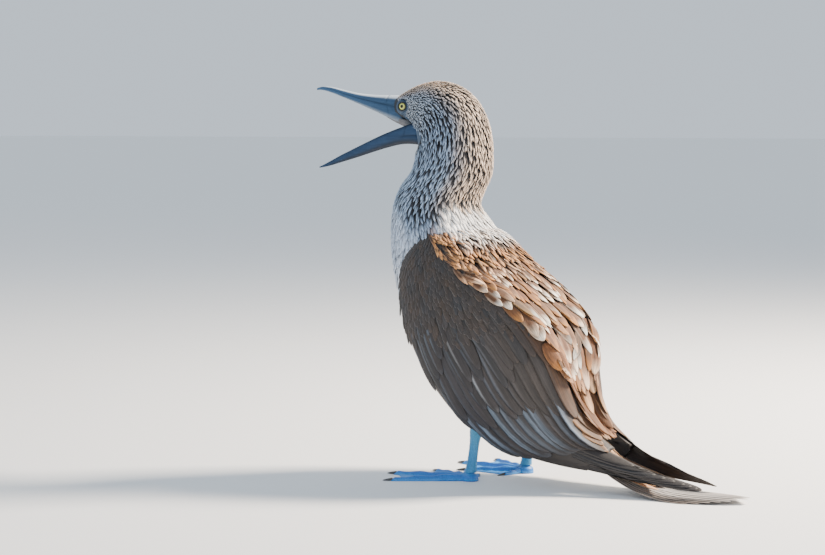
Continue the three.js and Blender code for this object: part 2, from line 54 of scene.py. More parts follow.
# %% From the drawing to the scene
SIDES = ("left", "right")
SIGN = {"left": 1, "right": -1}  # of x on each side
EYE = np.array([12.6, -101.0, 386.5])  # the middle of the left one
EYE_RADIUS = 6.6
HEEL_X = 38.0  # of the left heel
HEEL_Y = {"left": 0.0, "right": 20.0}

eye_low, eye_high = (np.array(corner) * 1000 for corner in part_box("left_eye"))
SHIFT = (eye_low + eye_high) / 2 - EYE


def metres(points):
    """Millimetres of the drawing to metres of the scene."""
    return (np.asarray(points) + SHIFT) / 1000


print("shift of the drawing, mm", SHIFT.round(2))

# %% [markdown]
# ## Camera and light
# The photograph looks at the bird from its left and a little from behind, with a long lens. A warm light from the
# right lies along the back and the nape. A large cool one fills the shaded side.

# %% Camera, lights and floor
AZIMUTH = np.radians(125)
RIGHT = np.array([np.cos(AZIMUTH), np.sin(AZIMUTH), 0])
BACK = np.array([np.sin(AZIMUTH), -np.cos(AZIMUTH), 0])
UP = np.array([0.0, 0.0, 1.0])
MM_PER_PIXEL = 1.04
IMAGE_WIDTH = 825
CAMERA_DISTANCE = 2200.0
CAMERA_HEIGHT = 365.0
AIM = -81.6 * RIGHT + 208.5 * UP
SENSOR = 36.0


def look_from(thing, place, target):
    """Puts a camera or a light at a place in the drawing and points it at a target."""
    place, target = Vector(metres(place)), Vector(metres(target))
    thing.location = place
    thing.rotation_euler = (target - place).to_track_quat("-Z", "Y").to_euler()


camera = bpy.data.objects.new("camera", bpy.data.cameras.new("camera"))
camera.data.sensor_width = SENSOR
camera.data.lens = SENSOR * CAMERA_DISTANCE / (IMAGE_WIDTH * MM_PER_PIXEL)
look_from(camera, AIM * [1, 1, 0] + BACK * CAMERA_DISTANCE + UP * CAMERA_HEIGHT, AIM)
bpy.context.collection.objects.link(camera)
bpy.context.scene.camera = camera


def area_light(name, place, size, power, colour):
    """A square lamp at a place round the bird, pointed at its breast."""
    lamp = bpy.data.lights.new(name, "AREA")
    lamp.size = size
    lamp.energy = power
    lamp.color = colour
    made = bpy.data.objects.new(name, lamp)
    look_from(made, place, [0, 20, 220])
    bpy.context.collection.objects.link(made)


area_light("warm_key", RIGHT * 1500 - BACK * 450 + UP * 1500, 0.5, 188, (1, 0.87, 0.72))
area_light("cool_fill", BACK * 1900 - RIGHT * 900 + UP * 900, 2.4, 5, (0.7, 0.85, 1))

world = bpy.data.worlds.new("pale_room")
world.use_nodes = True
all_round = world.node_tree.nodes["Background"]
all_round.inputs["Color"].default_value = (0.78, 0.885, 1, 1)
all_round.inputs["Strength"].default_value = 0.92
bpy.context.scene.world = world

FLOOR_REACH = 60000.0
floor_mesh = bpy.data.meshes.new("floor")
floor_corners = np.array([[-1, -1], [1, -1], [1, 1], [-1, 1]]) * FLOOR_REACH
floor_points = metres(np.column_stack([floor_corners, np.zeros(4)]))
floor_mesh.from_pydata(floor_points.tolist(), [], [(0, 1, 2, 3)])
floor = bpy.data.objects.new("floor", floor_mesh)
bpy.context.collection.objects.link(floor)
print("lens, mm", round(camera.data.lens, 1))

# %% [markdown]
# ## The form under the feathers
# The solids draw the bird through a list of sections. Each row here has a point of the back line and one of the
# belly line, the half-width, and how square the flank and the top are. A second list gives the folded wings, with
# the angles round it of a wing's lower edge and of its edge on the back. A smooth curve runs through all the rows.

# %% Sections of the body and of the folded wings
# back y, z; belly y, z; half-width; flank; top
TRUNK = np.array([
    [-116, 397, -111, 371, 14, 2.3, 2.3],
    [-103, 403.5, -97, 367.5, 18.5, 2.2, 2.2],
    [-86, 410, -88, 357, 22, 2.1, 2.1],
    [-64, 413, -87, 346, 25.5, 2.1, 2.1],
    [-39, 407, -88, 338, 29, 2, 2],
    [-20, 392, -89, 331, 32, 2, 2],
    [-8, 369, -90, 325, 35, 2, 2],
    [-4, 341, -95, 314, 38, 2, 2],
    [-6, 316, -106, 302, 42, 2, 2],
    [-17, 298, -113, 286, 45, 2, 2.1],
    [-23, 284, -116, 266, 48, 2, 2.2],
    [-14, 269, -115, 240, 54, 2, 2.4],
    [2, 249, -109, 206, 58, 2.1, 2.6],
    [20, 228, -98, 170, 60, 2.2, 2.8],
    [39, 208, -83, 137, 61, 2.2, 3],
    [59, 187, -61, 108, 61, 2.2, 3],
    [78, 162, -36, 88, 58, 2.2, 3],
    [92, 135, -8, 73, 52, 2.1, 2.8],
    [103, 109, 22, 60, 44, 2, 2.6],
    [113, 85, 52, 48, 36, 2, 2.4],
    [124, 65, 80, 37, 29, 2, 2.2],
    [134, 52, 100, 30, 24, 2, 2],
    [146, 40, 124, 22, 20, 2, 2],
    [160, 28, 148, 14, 16, 2, 2],
    [174, 19, 168, 9, 12, 2, 2],
])
# the same, and the angles of the wing's lower edge and of its edge on the back
FOLDED = np.array([
    [-20, 268, -92, 236, 50, 2.1, 2.2, 2, 20],
    [6, 255, -105, 206, 63, 2.1, 2.5, -20, 28],
    [26, 235, -101, 168, 71, 2.2, 2.8, -28, 38],
    [48, 216, -88, 132, 75, 2.3, 3, -34, 46],
    [70, 195, -69, 98, 76, 2.3, 3.2, -37, 54],
    [94, 170, -47, 72, 74, 2.3, 3.3, -40, 61],
    [107, 142, -23, 50, 69, 2.3, 3.3, -40, 68],
    [112, 114, 6, 31, 62, 2.2, 3, -36, 74],
    [119, 89, 44, 20, 54, 2.2, 2.8, -34, 76],
    [133, 66, 86, 14, 46, 2.1, 2.6, -32, 75],
    [157, 48, 126, 13, 40, 2.1, 2.4, -30, 72],
    [186, 35, 166, 13, 33, 2, 2.2, -24, 66],
    [216, 26.5, 206, 12.5, 27, 2, 2, -14, 58],
    [242, 21, 238, 12, 22, 2, 2, -8, 50],
    [257, 17.5, 256, 11.5, 18, 2, 2, -4, 44],
])
LOWER_EDGE, BACK_EDGE = 7, 8  # the columns with the wing's edges
BODY_STEPS = len(TRUNK) - 1
WING_STEPS = len(FOLDED) - 1


# %% Curves and sections
def along(table, place):
    """The smooth curve through the rows of a table: with a, b, c, d the rows round a place and t its share of the
    way from b to c, it is b + t/2 (c - a + t (2a - 5b + 4c - d + t (3 (b - c) + d - a)))."""
    at = np.clip(place, 0, len(table) - 1)
    i = np.minimum(at.astype(int), len(table) - 2)
    t = (at - i)[..., None]
    a, b, c, d = (table[np.clip(i + k, 0, len(table) - 1)] for k in (-1, 0, 1, 2))
    return b + 0.5 * t * (c - a + t * (2 * a - 5 * b + 4 * c - d + t * (3 * (b - c) + d - a)))


def section_point(table, place, angle):
    """A point on a section: across = half * cos(angle)^(2/q) and rise = tall * sin(angle)^(2/q), with q how square
    it is there, from the middle of the line between belly and back. -90 is the belly, 0 the left side, 90 the back.
    """
    place, angle = np.broadcast_arrays(np.asarray(place, float), np.radians(angle))
    row = along(table, place)
    back, belly = row[..., 0:2], row[..., 2:4]
    sine, cosine = np.sin(angle), np.cos(angle)
    square = np.where(sine > 0, row[..., 6], row[..., 5])
    rise = np.sign(sine) * np.abs(sine) ** (2 / square)
    across = row[..., 4] * np.sign(cosine) * np.abs(cosine) ** (2 / square)
    middle = (back + belly) / 2 + (back - belly) / 2 * rise[..., None]
    return np.stack([across, middle[..., 0], middle[..., 1]], -1)


def unit(vectors):
    """Vectors scaled to length 1."""
    return vectors / np.maximum(np.linalg.norm(vectors, axis=-1, keepdims=True), 1e-9)


# %% A smooth sheet for feathers to grow on
class Sheet:
    """A smooth surface kept as a fine grid over u and v, which run from v_low to v_high and from 0 to 1. A point
    between the grid's is mixed from the four round it. Outward is along the step in u times the step in v."""

    def __init__(self, points, v_low=0.0, v_high=1.0):
        self.points = points
        self.v_low, self.v_high = v_low, v_high
        step_u, step_v = np.gradient(points, axis=0), np.gradient(points, axis=1)
        rows, columns = points.shape[:2]
        self.normals = unit(np.cross(step_u, step_v))
        self.speed_u = np.linalg.norm(step_u, axis=-1) * (rows - 1)
        self.speed_v = np.linalg.norm(step_v, axis=-1) * (columns - 1) / (v_high - v_low)
        self.area = self.speed_u * self.speed_v / ((rows - 1) * (columns - 1)) * (v_high - v_low)

    def mix(self, grid, u, v):
        """Values of a grid at (u, v)."""
        rows, columns = self.points.shape[:2]
        a = np.clip(u, 0, 1) * (rows - 1)
        b = np.clip((v - self.v_low) / (self.v_high - self.v_low), 0, 1) * (columns - 1)
        i, j = np.minimum(a.astype(int), rows - 2), np.minimum(b.astype(int), columns - 2)
        s, t = a - i, b - j
        if grid.ndim == 3:
            s, t = s[..., None], t[..., None]
        near = grid[i, j] * (1 - t) + grid[i, j + 1] * t
        far = grid[i + 1, j] * (1 - t) + grid[i + 1, j + 1] * t
        return near * (1 - s) + far * s

    def at(self, u, v, lift=0.0):
        """Points lifted off the surface."""
        lift = np.broadcast_to(lift, np.shape(u))[..., None]
        return self.mix(self.points, u, v) + lift * unit(self.mix(self.normals, u, v))

    def cells(self):
        """u and v of the grid's points."""
        u = np.linspace(0, 1, self.points.shape[0])
        v = np.linspace(self.v_low, self.v_high, self.points.shape[1])
        return np.meshgrid(u, v, indexing="ij")


# %% The sheets of the body and of a wing
WRAP = 0.25  # the body's sheet runs on past the belly line, so that a feather can lie across it

body_u, body_v = np.meshgrid(np.linspace(0, 1, 241), np.linspace(-WRAP, 1 + WRAP, 217), indexing="ij")
body = Sheet(section_point(TRUNK, body_u * BODY_STEPS, body_v * 360 - 90), -WRAP, 1 + WRAP)


def towards_back(v):
    """How high v lies round the body: sin(360 v - 90), which is -1 on the belly line and 1 on the back line."""
    return np.sin(np.radians(v * 360 - 90))


WING_PAD = 0.08  # how far the wing's sheet runs on past its edges


def wing_grid(rows=141, columns=61, pad=WING_PAD):
    """Points of the left folded wing. v is the share of the way across it by length, from its lower edge at 0 to its
    edge on the back at 1, and runs past both by the pad."""
    place = np.linspace(0, WING_STEPS, rows)[:, None]
    row = along(FOLDED, place[:, 0])
    low, high = row[:, LOWER_EDGE, None], row[:, BACK_EDGE, None]
    share = np.linspace(-0.3, 1.3, 97)[None, :]
    line = section_point(FOLDED, place, low + (high - low) * share)
    run = np.concatenate([np.zeros((rows, 1)), np.cumsum(np.linalg.norm(np.diff(line, axis=1), axis=-1), 1)], 1)
    grid = np.empty((rows, columns, 3))
    for i in range(rows):
        first, last = np.interp([0, 1], share[0], run[i])
        wanted = first + np.linspace(-pad, 1 + pad, columns) * (last - first)
        grid[i] = np.column_stack([np.interp(wanted, run[i], line[i, :, k]) for k in range(3)])
    return grid


wing = Sheet(wing_grid(), -WING_PAD, 1 + WING_PAD)
print("mean length of the body's lines, mm", round(float(body.speed_u.mean())))
print("mean length of the wing's lines, mm", round(float(wing.speed_u.mean())))

# %% [markdown]
# ## Meshes and finishes
# A mesh is filled from arrays, with two things stored at each corner point that its finish reads: its own colour,
# which follows the bird's markings, and for a feather where on its vane the point lies. The second map, OFBake,
# unwraps the form under the coat, with each feather as a small patch at its root's place.


# %% Helpers for meshes
def linear(red, green, blue):
    """A colour given as 0 to 255, as the light it sends back."""
    share = np.array([red, green, blue]) / 255
    return np.where(share <= 0.04045, share / 12.92, ((share + 0.055) / 1.055) ** 2.4)


def blend(a, b, amount):
    """Mixes two colours or arrays of colours."""
    amount = np.asarray(amount)[..., None]
    return np.asarray(a) * (1 - amount) + np.asarray(b) * amount


def ramp(x, low, high):
    """0 below low, 1 above high, and a smooth step 3t^2 - 2t^3 between."""
    t = np.clip((x - low) / (high - low), 0, 1)
    return t * t * (3 - 2 * t)


# %% From arrays to a piece of the bird
def add_mesh(name, points, faces, finish, tint, vane=None, bake=None, replaces=()):
    """A piece of the bird from points in millimetres, faces as arrays of point numbers, and the points' colours,
    places on their vane and places on the map for baking."""
    mesh = bpy.data.meshes.new(name)
    corners = np.concatenate([f.ravel() for f in faces]).astype(np.int32)
    counts = np.concatenate([np.full(len(f), f.shape[1]) for f in faces])
    starts = np.concatenate([[0], np.cumsum(counts)[:-1]]).astype(np.int32)
    mesh.vertices.add(len(points))
    mesh.vertices.foreach_set("co", metres(points).ravel())
    mesh.loops.add(len(corners))
    mesh.polygons.add(len(counts))
    mesh.polygons.foreach_set("loop_start", starts)
    mesh.polygons.foreach_set("vertices", corners)
    mesh.polygons.foreach_set("use_smooth", np.ones(len(counts), bool))
    colours = np.ones((len(points), 4))
    colours[:, :3] = tint
    mesh.color_attributes.new("tint", "FLOAT_COLOR", "POINT").data.foreach_set("color", colours.ravel())
    if vane is not None:
        mesh.attributes.new("vane", "FLOAT_VECTOR", "POINT").data.foreach_set("vector", vane.ravel())
    if bake is not None:
        mesh.uv_layers.new(name="OFBake").data.foreach_set("uv", bake[corners].ravel())
    mesh.update(calc_edges=True)
    mesh.validate()
    mesh.materials.append(finish)
    piece = bpy.data.objects.new(name, mesh)
    bpy.context.collection.objects.link(piece)
    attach(piece, "root")
    if replaces:
        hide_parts(*replaces)
    print(f"{name}: {int((counts - 2).sum())} triangles")


# %% Closed forms from grids of points
def grid_faces(rows, columns, closed_across=False, start=0):
    """Quads of a grid of points, facing along the step in rows times the step in columns."""
    i = np.arange(rows - 1)[:, None] * columns
    j = np.arange(columns if closed_across else columns - 1)[None, :]
    a, b = i + j, i + (j + 1) % columns
    return np.stack([a, a + columns, b + columns, b], -1).reshape(-1, 4) + start


def end_fan(ring, hub, outward_last):
    """Triangles between a ring of point numbers and a middle point."""
    after = np.roll(ring, -1)
    hubs = np.full(len(ring), hub)
    return np.stack([hubs, ring, after] if outward_last else [hubs, after, ring], -1)


def tube(rings, start=0):
    """Points and faces of a closed body through rings (rows, around, 3), each end closed round its middle. It faces
    outwards where the step from ring to ring times the step round it points outwards."""
    rows, around = rings.shape[:2]
    points = np.concatenate([rings.reshape(-1, 3), rings[0].mean(0)[None], rings[-1].mean(0)[None]])
    first, last = np.arange(around), np.arange(around) + (rows - 1) * around
    faces = [
        grid_faces(rows, around, True),
        end_fan(first, rows * around, True),
        end_fan(last, rows * around + 1, False),
    ]
    return points, [f + start for f in faces]


def on_map(unwrap):
    """Places of an unwrap, from 0 to 1, moved in from the edge of the map for baking: 0.02 + 0.96 times each."""
    return 0.02 + 0.96 * np.asarray(unwrap)


def shell(sheet, u, v, outer_depth, inner_depth):
    """A closed plate under a sheet, between two depths, and its points' places on the map for baking."""
    outer, inner = sheet.at(u, v, -outer_depth), sheet.at(u, v, -inner_depth)
    points, faces = tube(np.concatenate([outer, inner[:, ::-1]], 1))
    place = np.stack([v, u], -1)
    unwrap = np.concatenate([place, place[:, ::-1]], 1).reshape(-1, 2)
    return points, faces, on_map(np.concatenate([unwrap, [[0.5, 0], [0.5, 1]]]))


def on_side(points, side):
    """A left-hand shape as that of one side."""
    return points * [SIGN[side], 1, 1]


def flipped(faces, side):
    """Faces of a mirrored shape turned round, so that they still point outwards."""
    return faces if side == "left" else [f[:, ::-1] for f in faces]


def gather(bodies):
    """Several bodies of points and faces as one."""
    points, faces, start = [], [], 0
    for body_points, body_faces in bodies:
        points.append(body_points)
        faces.extend(f + start for f in body_faces)
        start += len(body_points)
    return np.concatenate(points), faces


# %% [markdown]
# The finish of a feather is one node group, used for every tract with other values: fine barbs slant from the shaft
# to the edge, the shaft is a thin line, and each feather is a little lighter or darker than the next.


# %% Node groups
def new_group(name, inputs):
    """An empty shader node group that takes numbers and gives a colour and a height, and the nodes that hold its
    sockets."""
    group = bpy.data.node_groups.new(name, "ShaderNodeTree")
    for label, value in inputs.items():
        group.interface.new_socket(label, in_out="INPUT", socket_type="NodeSocketFloat").default_value = value
    group.interface.new_socket("Color", in_out="OUTPUT", socket_type="NodeSocketColor")
    group.interface.new_socket("Height", in_out="OUTPUT", socket_type="NodeSocketFloat")
    return group, group.nodes.new("NodeGroupInput"), group.nodes.new("NodeGroupOutput")


def stored(tree, name):
    """The node that reads what a mesh stores at its points under a name."""
    node = tree.nodes.new("ShaderNodeAttribute")
    node.attribute_name = name
    return node


def put(value, socket, tree):
    """Links a socket or sets a plain value."""
    if isinstance(value, bpy.types.NodeSocket):
        tree.links.new(value, socket)
    else:
        socket.default_value = value


def math_node(tree, operation, *values):
    """One Math node over sockets and numbers."""
    node = tree.nodes.new("ShaderNodeMath")
    node.operation = operation
    for value, socket in zip(values, node.inputs):
        put(value, socket, tree)
    return node.outputs[0]


def smooth_range(tree, value, low, high, to_low=0.0, to_high=1.0):
    """A smooth step of a value from low to high."""
    node = tree.nodes.new("ShaderNodeMapRange")
    node.interpolation_type = "SMOOTHSTEP"
    for socket, number in zip(node.inputs[0:5], (value, low, high, to_low, to_high)):
        put(number, socket, tree)
    return node.outputs[0]


def noise(tree, vector, scale, detail=3.0):
    """Noise about 0.5 over a vector."""
    node = tree.nodes.new("ShaderNodeTexNoise")
    put(vector, node.inputs["Vector"], tree)
    put(scale, node.inputs["Scale"], tree)
    node.inputs["Detail"].default_value = detail
    return node.outputs["Fac"]


def tinted(tree, colour, factor):
    """A colour times a number."""
    node = tree.nodes.new("ShaderNodeVectorMath")
    node.operation = "SCALE"
    put(colour, node.inputs[0], tree)
    put(factor, node.inputs["Scale"], tree)
    return node.outputs[0]


# %% The surface of a feather
FULL_TURN = 6.2832  # radians


def make_vane_group():
    """Colour and height of a vane from the point's place on it: x across from -1 to 1, y along from 0 to 1, z a
    number of the feather's own. Streaks are noise drawn out along the vane."""
    inputs = {"Barbs": 40.0, "Contrast": 0.12, "Shaft": 1.0, "Streaks": 0.6}
    group, given, made = new_group("vane_surface", inputs)
    tint, vane = stored(group, "tint"), stored(group, "vane")
    split = group.nodes.new("ShaderNodeSeparateXYZ")
    group.links.new(vane.outputs["Vector"], split.inputs[0])
    across = math_node(group, "ABSOLUTE", split.outputs["X"])
    slant = math_node(group, "MULTIPLY_ADD", across, -0.18, split.outputs["Y"])
    turns = math_node(group, "MULTIPLY", slant, given.outputs["Barbs"])
    wave = math_node(group, "SINE", math_node(group, "MULTIPLY", turns, FULL_TURN))
    own = math_node(group, "MULTIPLY_ADD", split.outputs["Z"], 0.34, 0.83)
    place = group.nodes.new("ShaderNodeTexCoord").outputs["Object"]
    mottle = math_node(group, "MULTIPLY_ADD", noise(group, place, 260.0), 0.5, 0.75)
    drawn_out = group.nodes.new("ShaderNodeVectorMath")
    drawn_out.operation = "MULTIPLY"
    drawn_out.inputs[1].default_value = (6.0, 2.5, 90.0)
    group.links.new(vane.outputs["Vector"], drawn_out.inputs[0])
    streak = math_node(group, "SUBTRACT", noise(group, drawn_out.outputs[0], 1.0, 4.0), 0.5)
    barbs = math_node(group, "MULTIPLY_ADD", wave, given.outputs["Contrast"], 1.0)
    barbs = math_node(group, "MULTIPLY_ADD", streak, given.outputs["Streaks"], barbs)
    shaft = smooth_range(group, across, 0.1, 0.03, 0.0, given.outputs["Shaft"])
    factor = math_node(group, "MULTIPLY", math_node(group, "MULTIPLY", own, barbs), mottle)
    factor = math_node(group, "MULTIPLY_ADD", shaft, 0.35, factor)
    group.links.new(tinted(group, tint.outputs["Color"], factor), made.inputs["Color"])
    group.links.new(math_node(group, "MULTIPLY_ADD", shaft, 0.6, wave), made.inputs["Height"])
    return group


# %% The surface of bare skin and horn
def make_hide_group():
    """Colour and height of bare skin and horn: the point's own colour, fine grain stretched along the bird, and
    soft cells such as the small plates of a foot."""
    inputs = {"Grain": 0.15, "Grain size": 500.0, "Cells": 0.0, "Cell size": 600.0}
    group, given, made = new_group("hide_surface", inputs)
    tint = stored(group, "tint")
    place = group.nodes.new("ShaderNodeTexCoord").outputs["Object"]
    stretched = group.nodes.new("ShaderNodeMapping")
    stretched.inputs["Scale"].default_value = (1, 0.12, 0.8)
    group.links.new(place, stretched.inputs["Vector"])
    grain = math_node(group, "SUBTRACT", noise(group, stretched.outputs[0], given.outputs["Grain size"], 5.0), 0.5)
    cells = group.nodes.new("ShaderNodeTexVoronoi")
    cells.feature = "DISTANCE_TO_EDGE"
    group.links.new(place, cells.inputs["Vector"])
    group.links.new(given.outputs["Cell size"], cells.inputs["Scale"])
    groove = smooth_range(group, cells.outputs["Distance"], 0.0, 0.16, -1.0, 0.0)
    broad = math_node(group, "SUBTRACT", noise(group, place, 45.0), 0.5)
    factor = math_node(group, "MULTIPLY_ADD", grain, given.outputs["Grain"], 1.0)
    factor = math_node(group, "MULTIPLY_ADD", math_node(group, "MULTIPLY", groove, given.outputs["Cells"]), 0.3, factor)
    factor = math_node(group, "MULTIPLY_ADD", broad, 0.25, factor)
    group.links.new(tinted(group, tint.outputs["Color"], factor), made.inputs["Color"])
    height = math_node(group, "MULTIPLY_ADD", groove, given.outputs["Cells"], grain)
    group.links.new(height, made.inputs["Height"])
    return group


vane_group, hide_group = make_vane_group(), make_hide_group()


# %% The finishes
def make_finish(name, group, values, roughness, bump=0.2, distance=0.0003, **fixed):
    """A material from a node group, with the numbers that are the same all over set on the shader."""
    finish = bpy.data.materials.new(name)
    finish.use_nodes = True
    tree = finish.node_tree
    shader = tree.nodes["Principled BSDF"]
    node = tree.nodes.new("ShaderNodeGroup")
    node.node_tree = group
    for label, value in values.items():
        node.inputs[label].default_value = value
    relief = tree.nodes.new("ShaderNodeBump")
    relief.inputs["Strength"].default_value = bump
    relief.inputs["Distance"].default_value = distance
    tree.links.new(node.outputs["Color"], shader.inputs["Base Color"])
    tree.links.new(node.outputs["Height"], relief.inputs["Height"])
    tree.links.new(relief.outputs["Normal"], shader.inputs["Normal"])
    shader.inputs["Roughness"].default_value = roughness
    for label, value in fixed.items():
        shader.inputs[label.replace("_", " ")].default_value = value
    return finish


small_vanes = make_finish(
    "small_feathers", vane_group, {"Barbs": 9.0, "Contrast": 0.04, "Shaft": 0.3, "Streaks": 1.2}, 0.8,
    Sheen_Weight=0.12)
mantle_vanes = make_finish(
    "mantle_feathers", vane_group, {"Barbs": 14.0, "Contrast": 0.05, "Shaft": 0.5, "Streaks": 2.8}, 0.8,
    Sheen_Weight=0.12)
long_vanes = make_finish(
    "flight_feathers", vane_group, {"Barbs": 70.0, "Contrast": 0.06, "Shaft": 0.7, "Streaks": 2.4}, 0.6)
hide = make_finish("bare_hide", hide_group, {"Grain": 0.2, "Cells": 0.3}, 0.6)
horn = make_finish("bill_horn", hide_group, {"Grain": 0.7, "Grain size": 420.0}, 0.72, Specular_IOR_Level=0.3, IOR=1.25)
foot_hide = make_finish("blue_hide", hide_group, {"Grain": 0.2, "Cells": 0.8, "Cell size": 520.0}, 0.45)
claw_horn = make_finish("claw_horn", hide_group, {"Grain": 0.6, "Grain size": 700.0}, 0.4)
wet = make_finish("eye_surface", hide_group, {"Grain": 0.1}, 0.08, bump=0.0, Specular_IOR_Level=0.3, Coat_Weight=0.25)

floor_finish = bpy.data.materials.new("pale_floor")
floor_finish.use_nodes = True
floor_shader = floor_finish.node_tree.nodes["Principled BSDF"]
floor_shader.inputs["Base Color"].default_value = (0.9, 0.9, 0.9, 1)
floor_shader.inputs["Roughness"].default_value = 0.8
floor_mesh.materials.append(floor_finish)
print("finishes", len(bpy.data.materials))

# %% [markdown]
# ## Markings
# A blue-footed booby's head and neck are streaked: each narrow feather is dark brown with a pale tip. The tips carry
# painted light: warm on the nape, partly their own colour and partly the warm light, and blue-grey as painted shade
# on the throat, the face and the sides of the neck. A white patch lies where the neck meets the back, the mantle
# behind it is brown with buff and white tips, and the breast and belly are white, with painted blue-grey shade at the
# breast's edge. One function gives the colours of root and tip at any place, so that skin and coat carry the same
# markings and the same painted light.

# %% The markings as a function of place
DARK_NECK, DARK_HEAD = linear(30, 31, 37), linear(44, 40, 40)
# pale tips of the neck: blue-grey on its sides and the throat as painted shade, and warm on the nape, partly their own
# buff and partly painted warm light
SHADED_PALE_NECK, SUNLIT_NAPE, SHADED_THROAT = linear(154, 177, 206), linear(248, 220, 194), linear(166, 190, 218)
# the face's finer, softer streaks, tinted blue-grey as painted shade
SHADED_FACE_DARK, SHADED_FACE_PALE = linear(122, 130, 140), linear(192, 202, 214)
WHITE, SHADED_WHITE = linear(255, 254, 252), linear(220, 222, 226)
BROWN, BUFF = linear(64, 42, 28), linear(206, 144, 86)
RUMP_BROWN, RUMP_PALE = linear(108, 76, 52), linear(198, 156, 118)
# the dark second colour is painted shade: inside the mouth, in the gap between the bill's halves and under the chin
# the last colour here is the white of the breast's edge with painted blue-grey shade
SLATE, MOUTH_SHADE, SHADED_BREAST_EDGE = linear(58, 80, 104), linear(36, 40, 46), linear(184, 198, 218)

# height, and y of the line in front of which the face is bare
FACE_LINE = np.array([[325, -200], [336, -94], [341, -88], [346, -80], [352, -73], [359, -71], [364, -76], [369, -86],
                      [376, -95], [386, -104], [397, -114], [405, -122]])


def bare_face(points):
    """1 where the face has no feathers: in front of a line down the face and in a ring round the eye."""
    x, y, z = points[..., 0], points[..., 1], points[..., 2]
    front = ramp(np.interp(z, FACE_LINE[:, 0], FACE_LINE[:, 1]) - y, -0.5, 1.0)
    mirrored = np.stack([np.abs(x), y, z], -1) - EYE - [4, 0, 0]
    round_eye = ramp(np.linalg.norm(mirrored * [0.6, 1, 1], axis=-1), 9.0, 7.6)
    return np.maximum(front, round_eye)


def body_colours(u, v, points):
    """Colours of the root and of the tip of a feather on the body at (u, v)."""
    place = u * BODY_STEPS
    turn = towards_back(v)
    wander = 0.5 * np.sin(points[..., 0] * 0.23 + points[..., 2] * 0.31) + 0.5 * np.sin(points[..., 1] * 0.37)
    root = blend(DARK_HEAD, DARK_NECK, ramp(place, 2, 5))
    # painted light: the tips turn warm towards the top of the neck, where the warm light falls, and blue-grey on the
    # throat and sides as painted shade
    tip = blend(SHADED_PALE_NECK, SUNLIT_NAPE, ramp(turn, 0.35, 0.95))
    tip = blend(tip, SHADED_THROAT, ramp(turn, 0.05, -0.6))
    # the face gets the same painted blue-grey shade
    face = ramp(place, 4.8, 1.8) * ramp(turn, 0.7, 0.25)
    root, tip = blend(root, SHADED_FACE_DARK, face), blend(tip, SHADED_FACE_PALE, face)
    front = ramp(place + 0.3 * wander + 1.9 * ramp(turn, 0.1, -0.6), 11.2, 10.0)
    white_front = (1 - front) * ramp(turn, 0.5, 0.2)
    down = ramp(place, 10.8, 13.2)[..., None]  # painted shade: the breast's edge is tinted blue-grey, as white in shade is, and turns white on the way down
    root = blend(root, SHADED_BREAST_EDGE * 0.55 * (1 - down) + SHADED_WHITE * down, white_front)
    tip = blend(tip, SHADED_BREAST_EDGE * (1 - down) + WHITE * down, white_front)
    patch = ramp(place + 0.3 * wander, 9.4, 9.9) * ramp(place + 0.5 * wander, 12.2, 11.2) * ramp(turn, 0.5, 0.75)
    back = ramp(place + 0.4 * wander, 10.5, 11.1) * ramp(turn, 0.2, 0.45)
    root, tip = blend(root, BROWN, back), blend(tip, BUFF, back)
    rump = ramp(place, 16.5, 18) * ramp(turn, 0.0, 0.4)
    root, tip = blend(root, RUMP_BROWN, rump), blend(tip, RUMP_PALE, rump)
    root, tip = blend(root, WHITE * 0.9, patch), blend(tip, WHITE, patch)
    return root, tip


# %% [markdown]
# ## Skin
# One closed skin runs from the face to the root of the tail, with both thighs, and lies inside the solids by the
# depth of the coat. It is seen only on the face and in the gaps between feathers.


# %% The skin
def coat_depth(u):
    """How deep the coat is over the skin at u."""
    return np.interp(u * BODY_STEPS, [0, 1, 3, 6, 11, 20, 24], [0.5, 1.2, 2.2, 3.2, 4.2, 3.5, 1.5])


THIGH_STOPS = np.array([[34, 34, 118, 23, 30], [36, 28, 98, 19, 24], [37.5, 19, 80, 13, 15], [38, 11, 66, 8, 9],
                        [38, 8.5, 58, 6.2, 7.4]])
TARSUS_STOPS = np.array([[38, 8.5, 57.8, 5.9, 7.2], [38, 7.6, 52, 5.8, 7.4], [38, 5.6, 42, 4.3, 5.6],
                         [38, 3.6, 28, 4, 5.3], [38, 1.6, 16, 4.6, 5.8], [38, 0.4, 9, 5.6, 6.6]])


def limb_points(stops, t, turn, grow=0.0):
    """Ellipses carried along the line of stops: centre + (wide cos, deep sin, 0)."""
    row = along(stops, np.asarray(t) * (len(stops) - 1))
    wide, deep = row[..., 3] + grow, row[..., 4] + grow
    return row[..., :3] + np.stack([wide * np.cos(turn), deep * np.sin(turn), np.zeros_like(wide)], -1)


def on_leg(points, side):
    """A left-hand shape with its heel at y = 0 as that of one side's leg."""
    return on_side(points, side) + [0, HEEL_Y[side], 0]


SOCKET_DEPTH, SOCKET_RADIUS = 1.8, 8.0
THIGH_COAT = 2.2  # how deep the coat is on the thighs


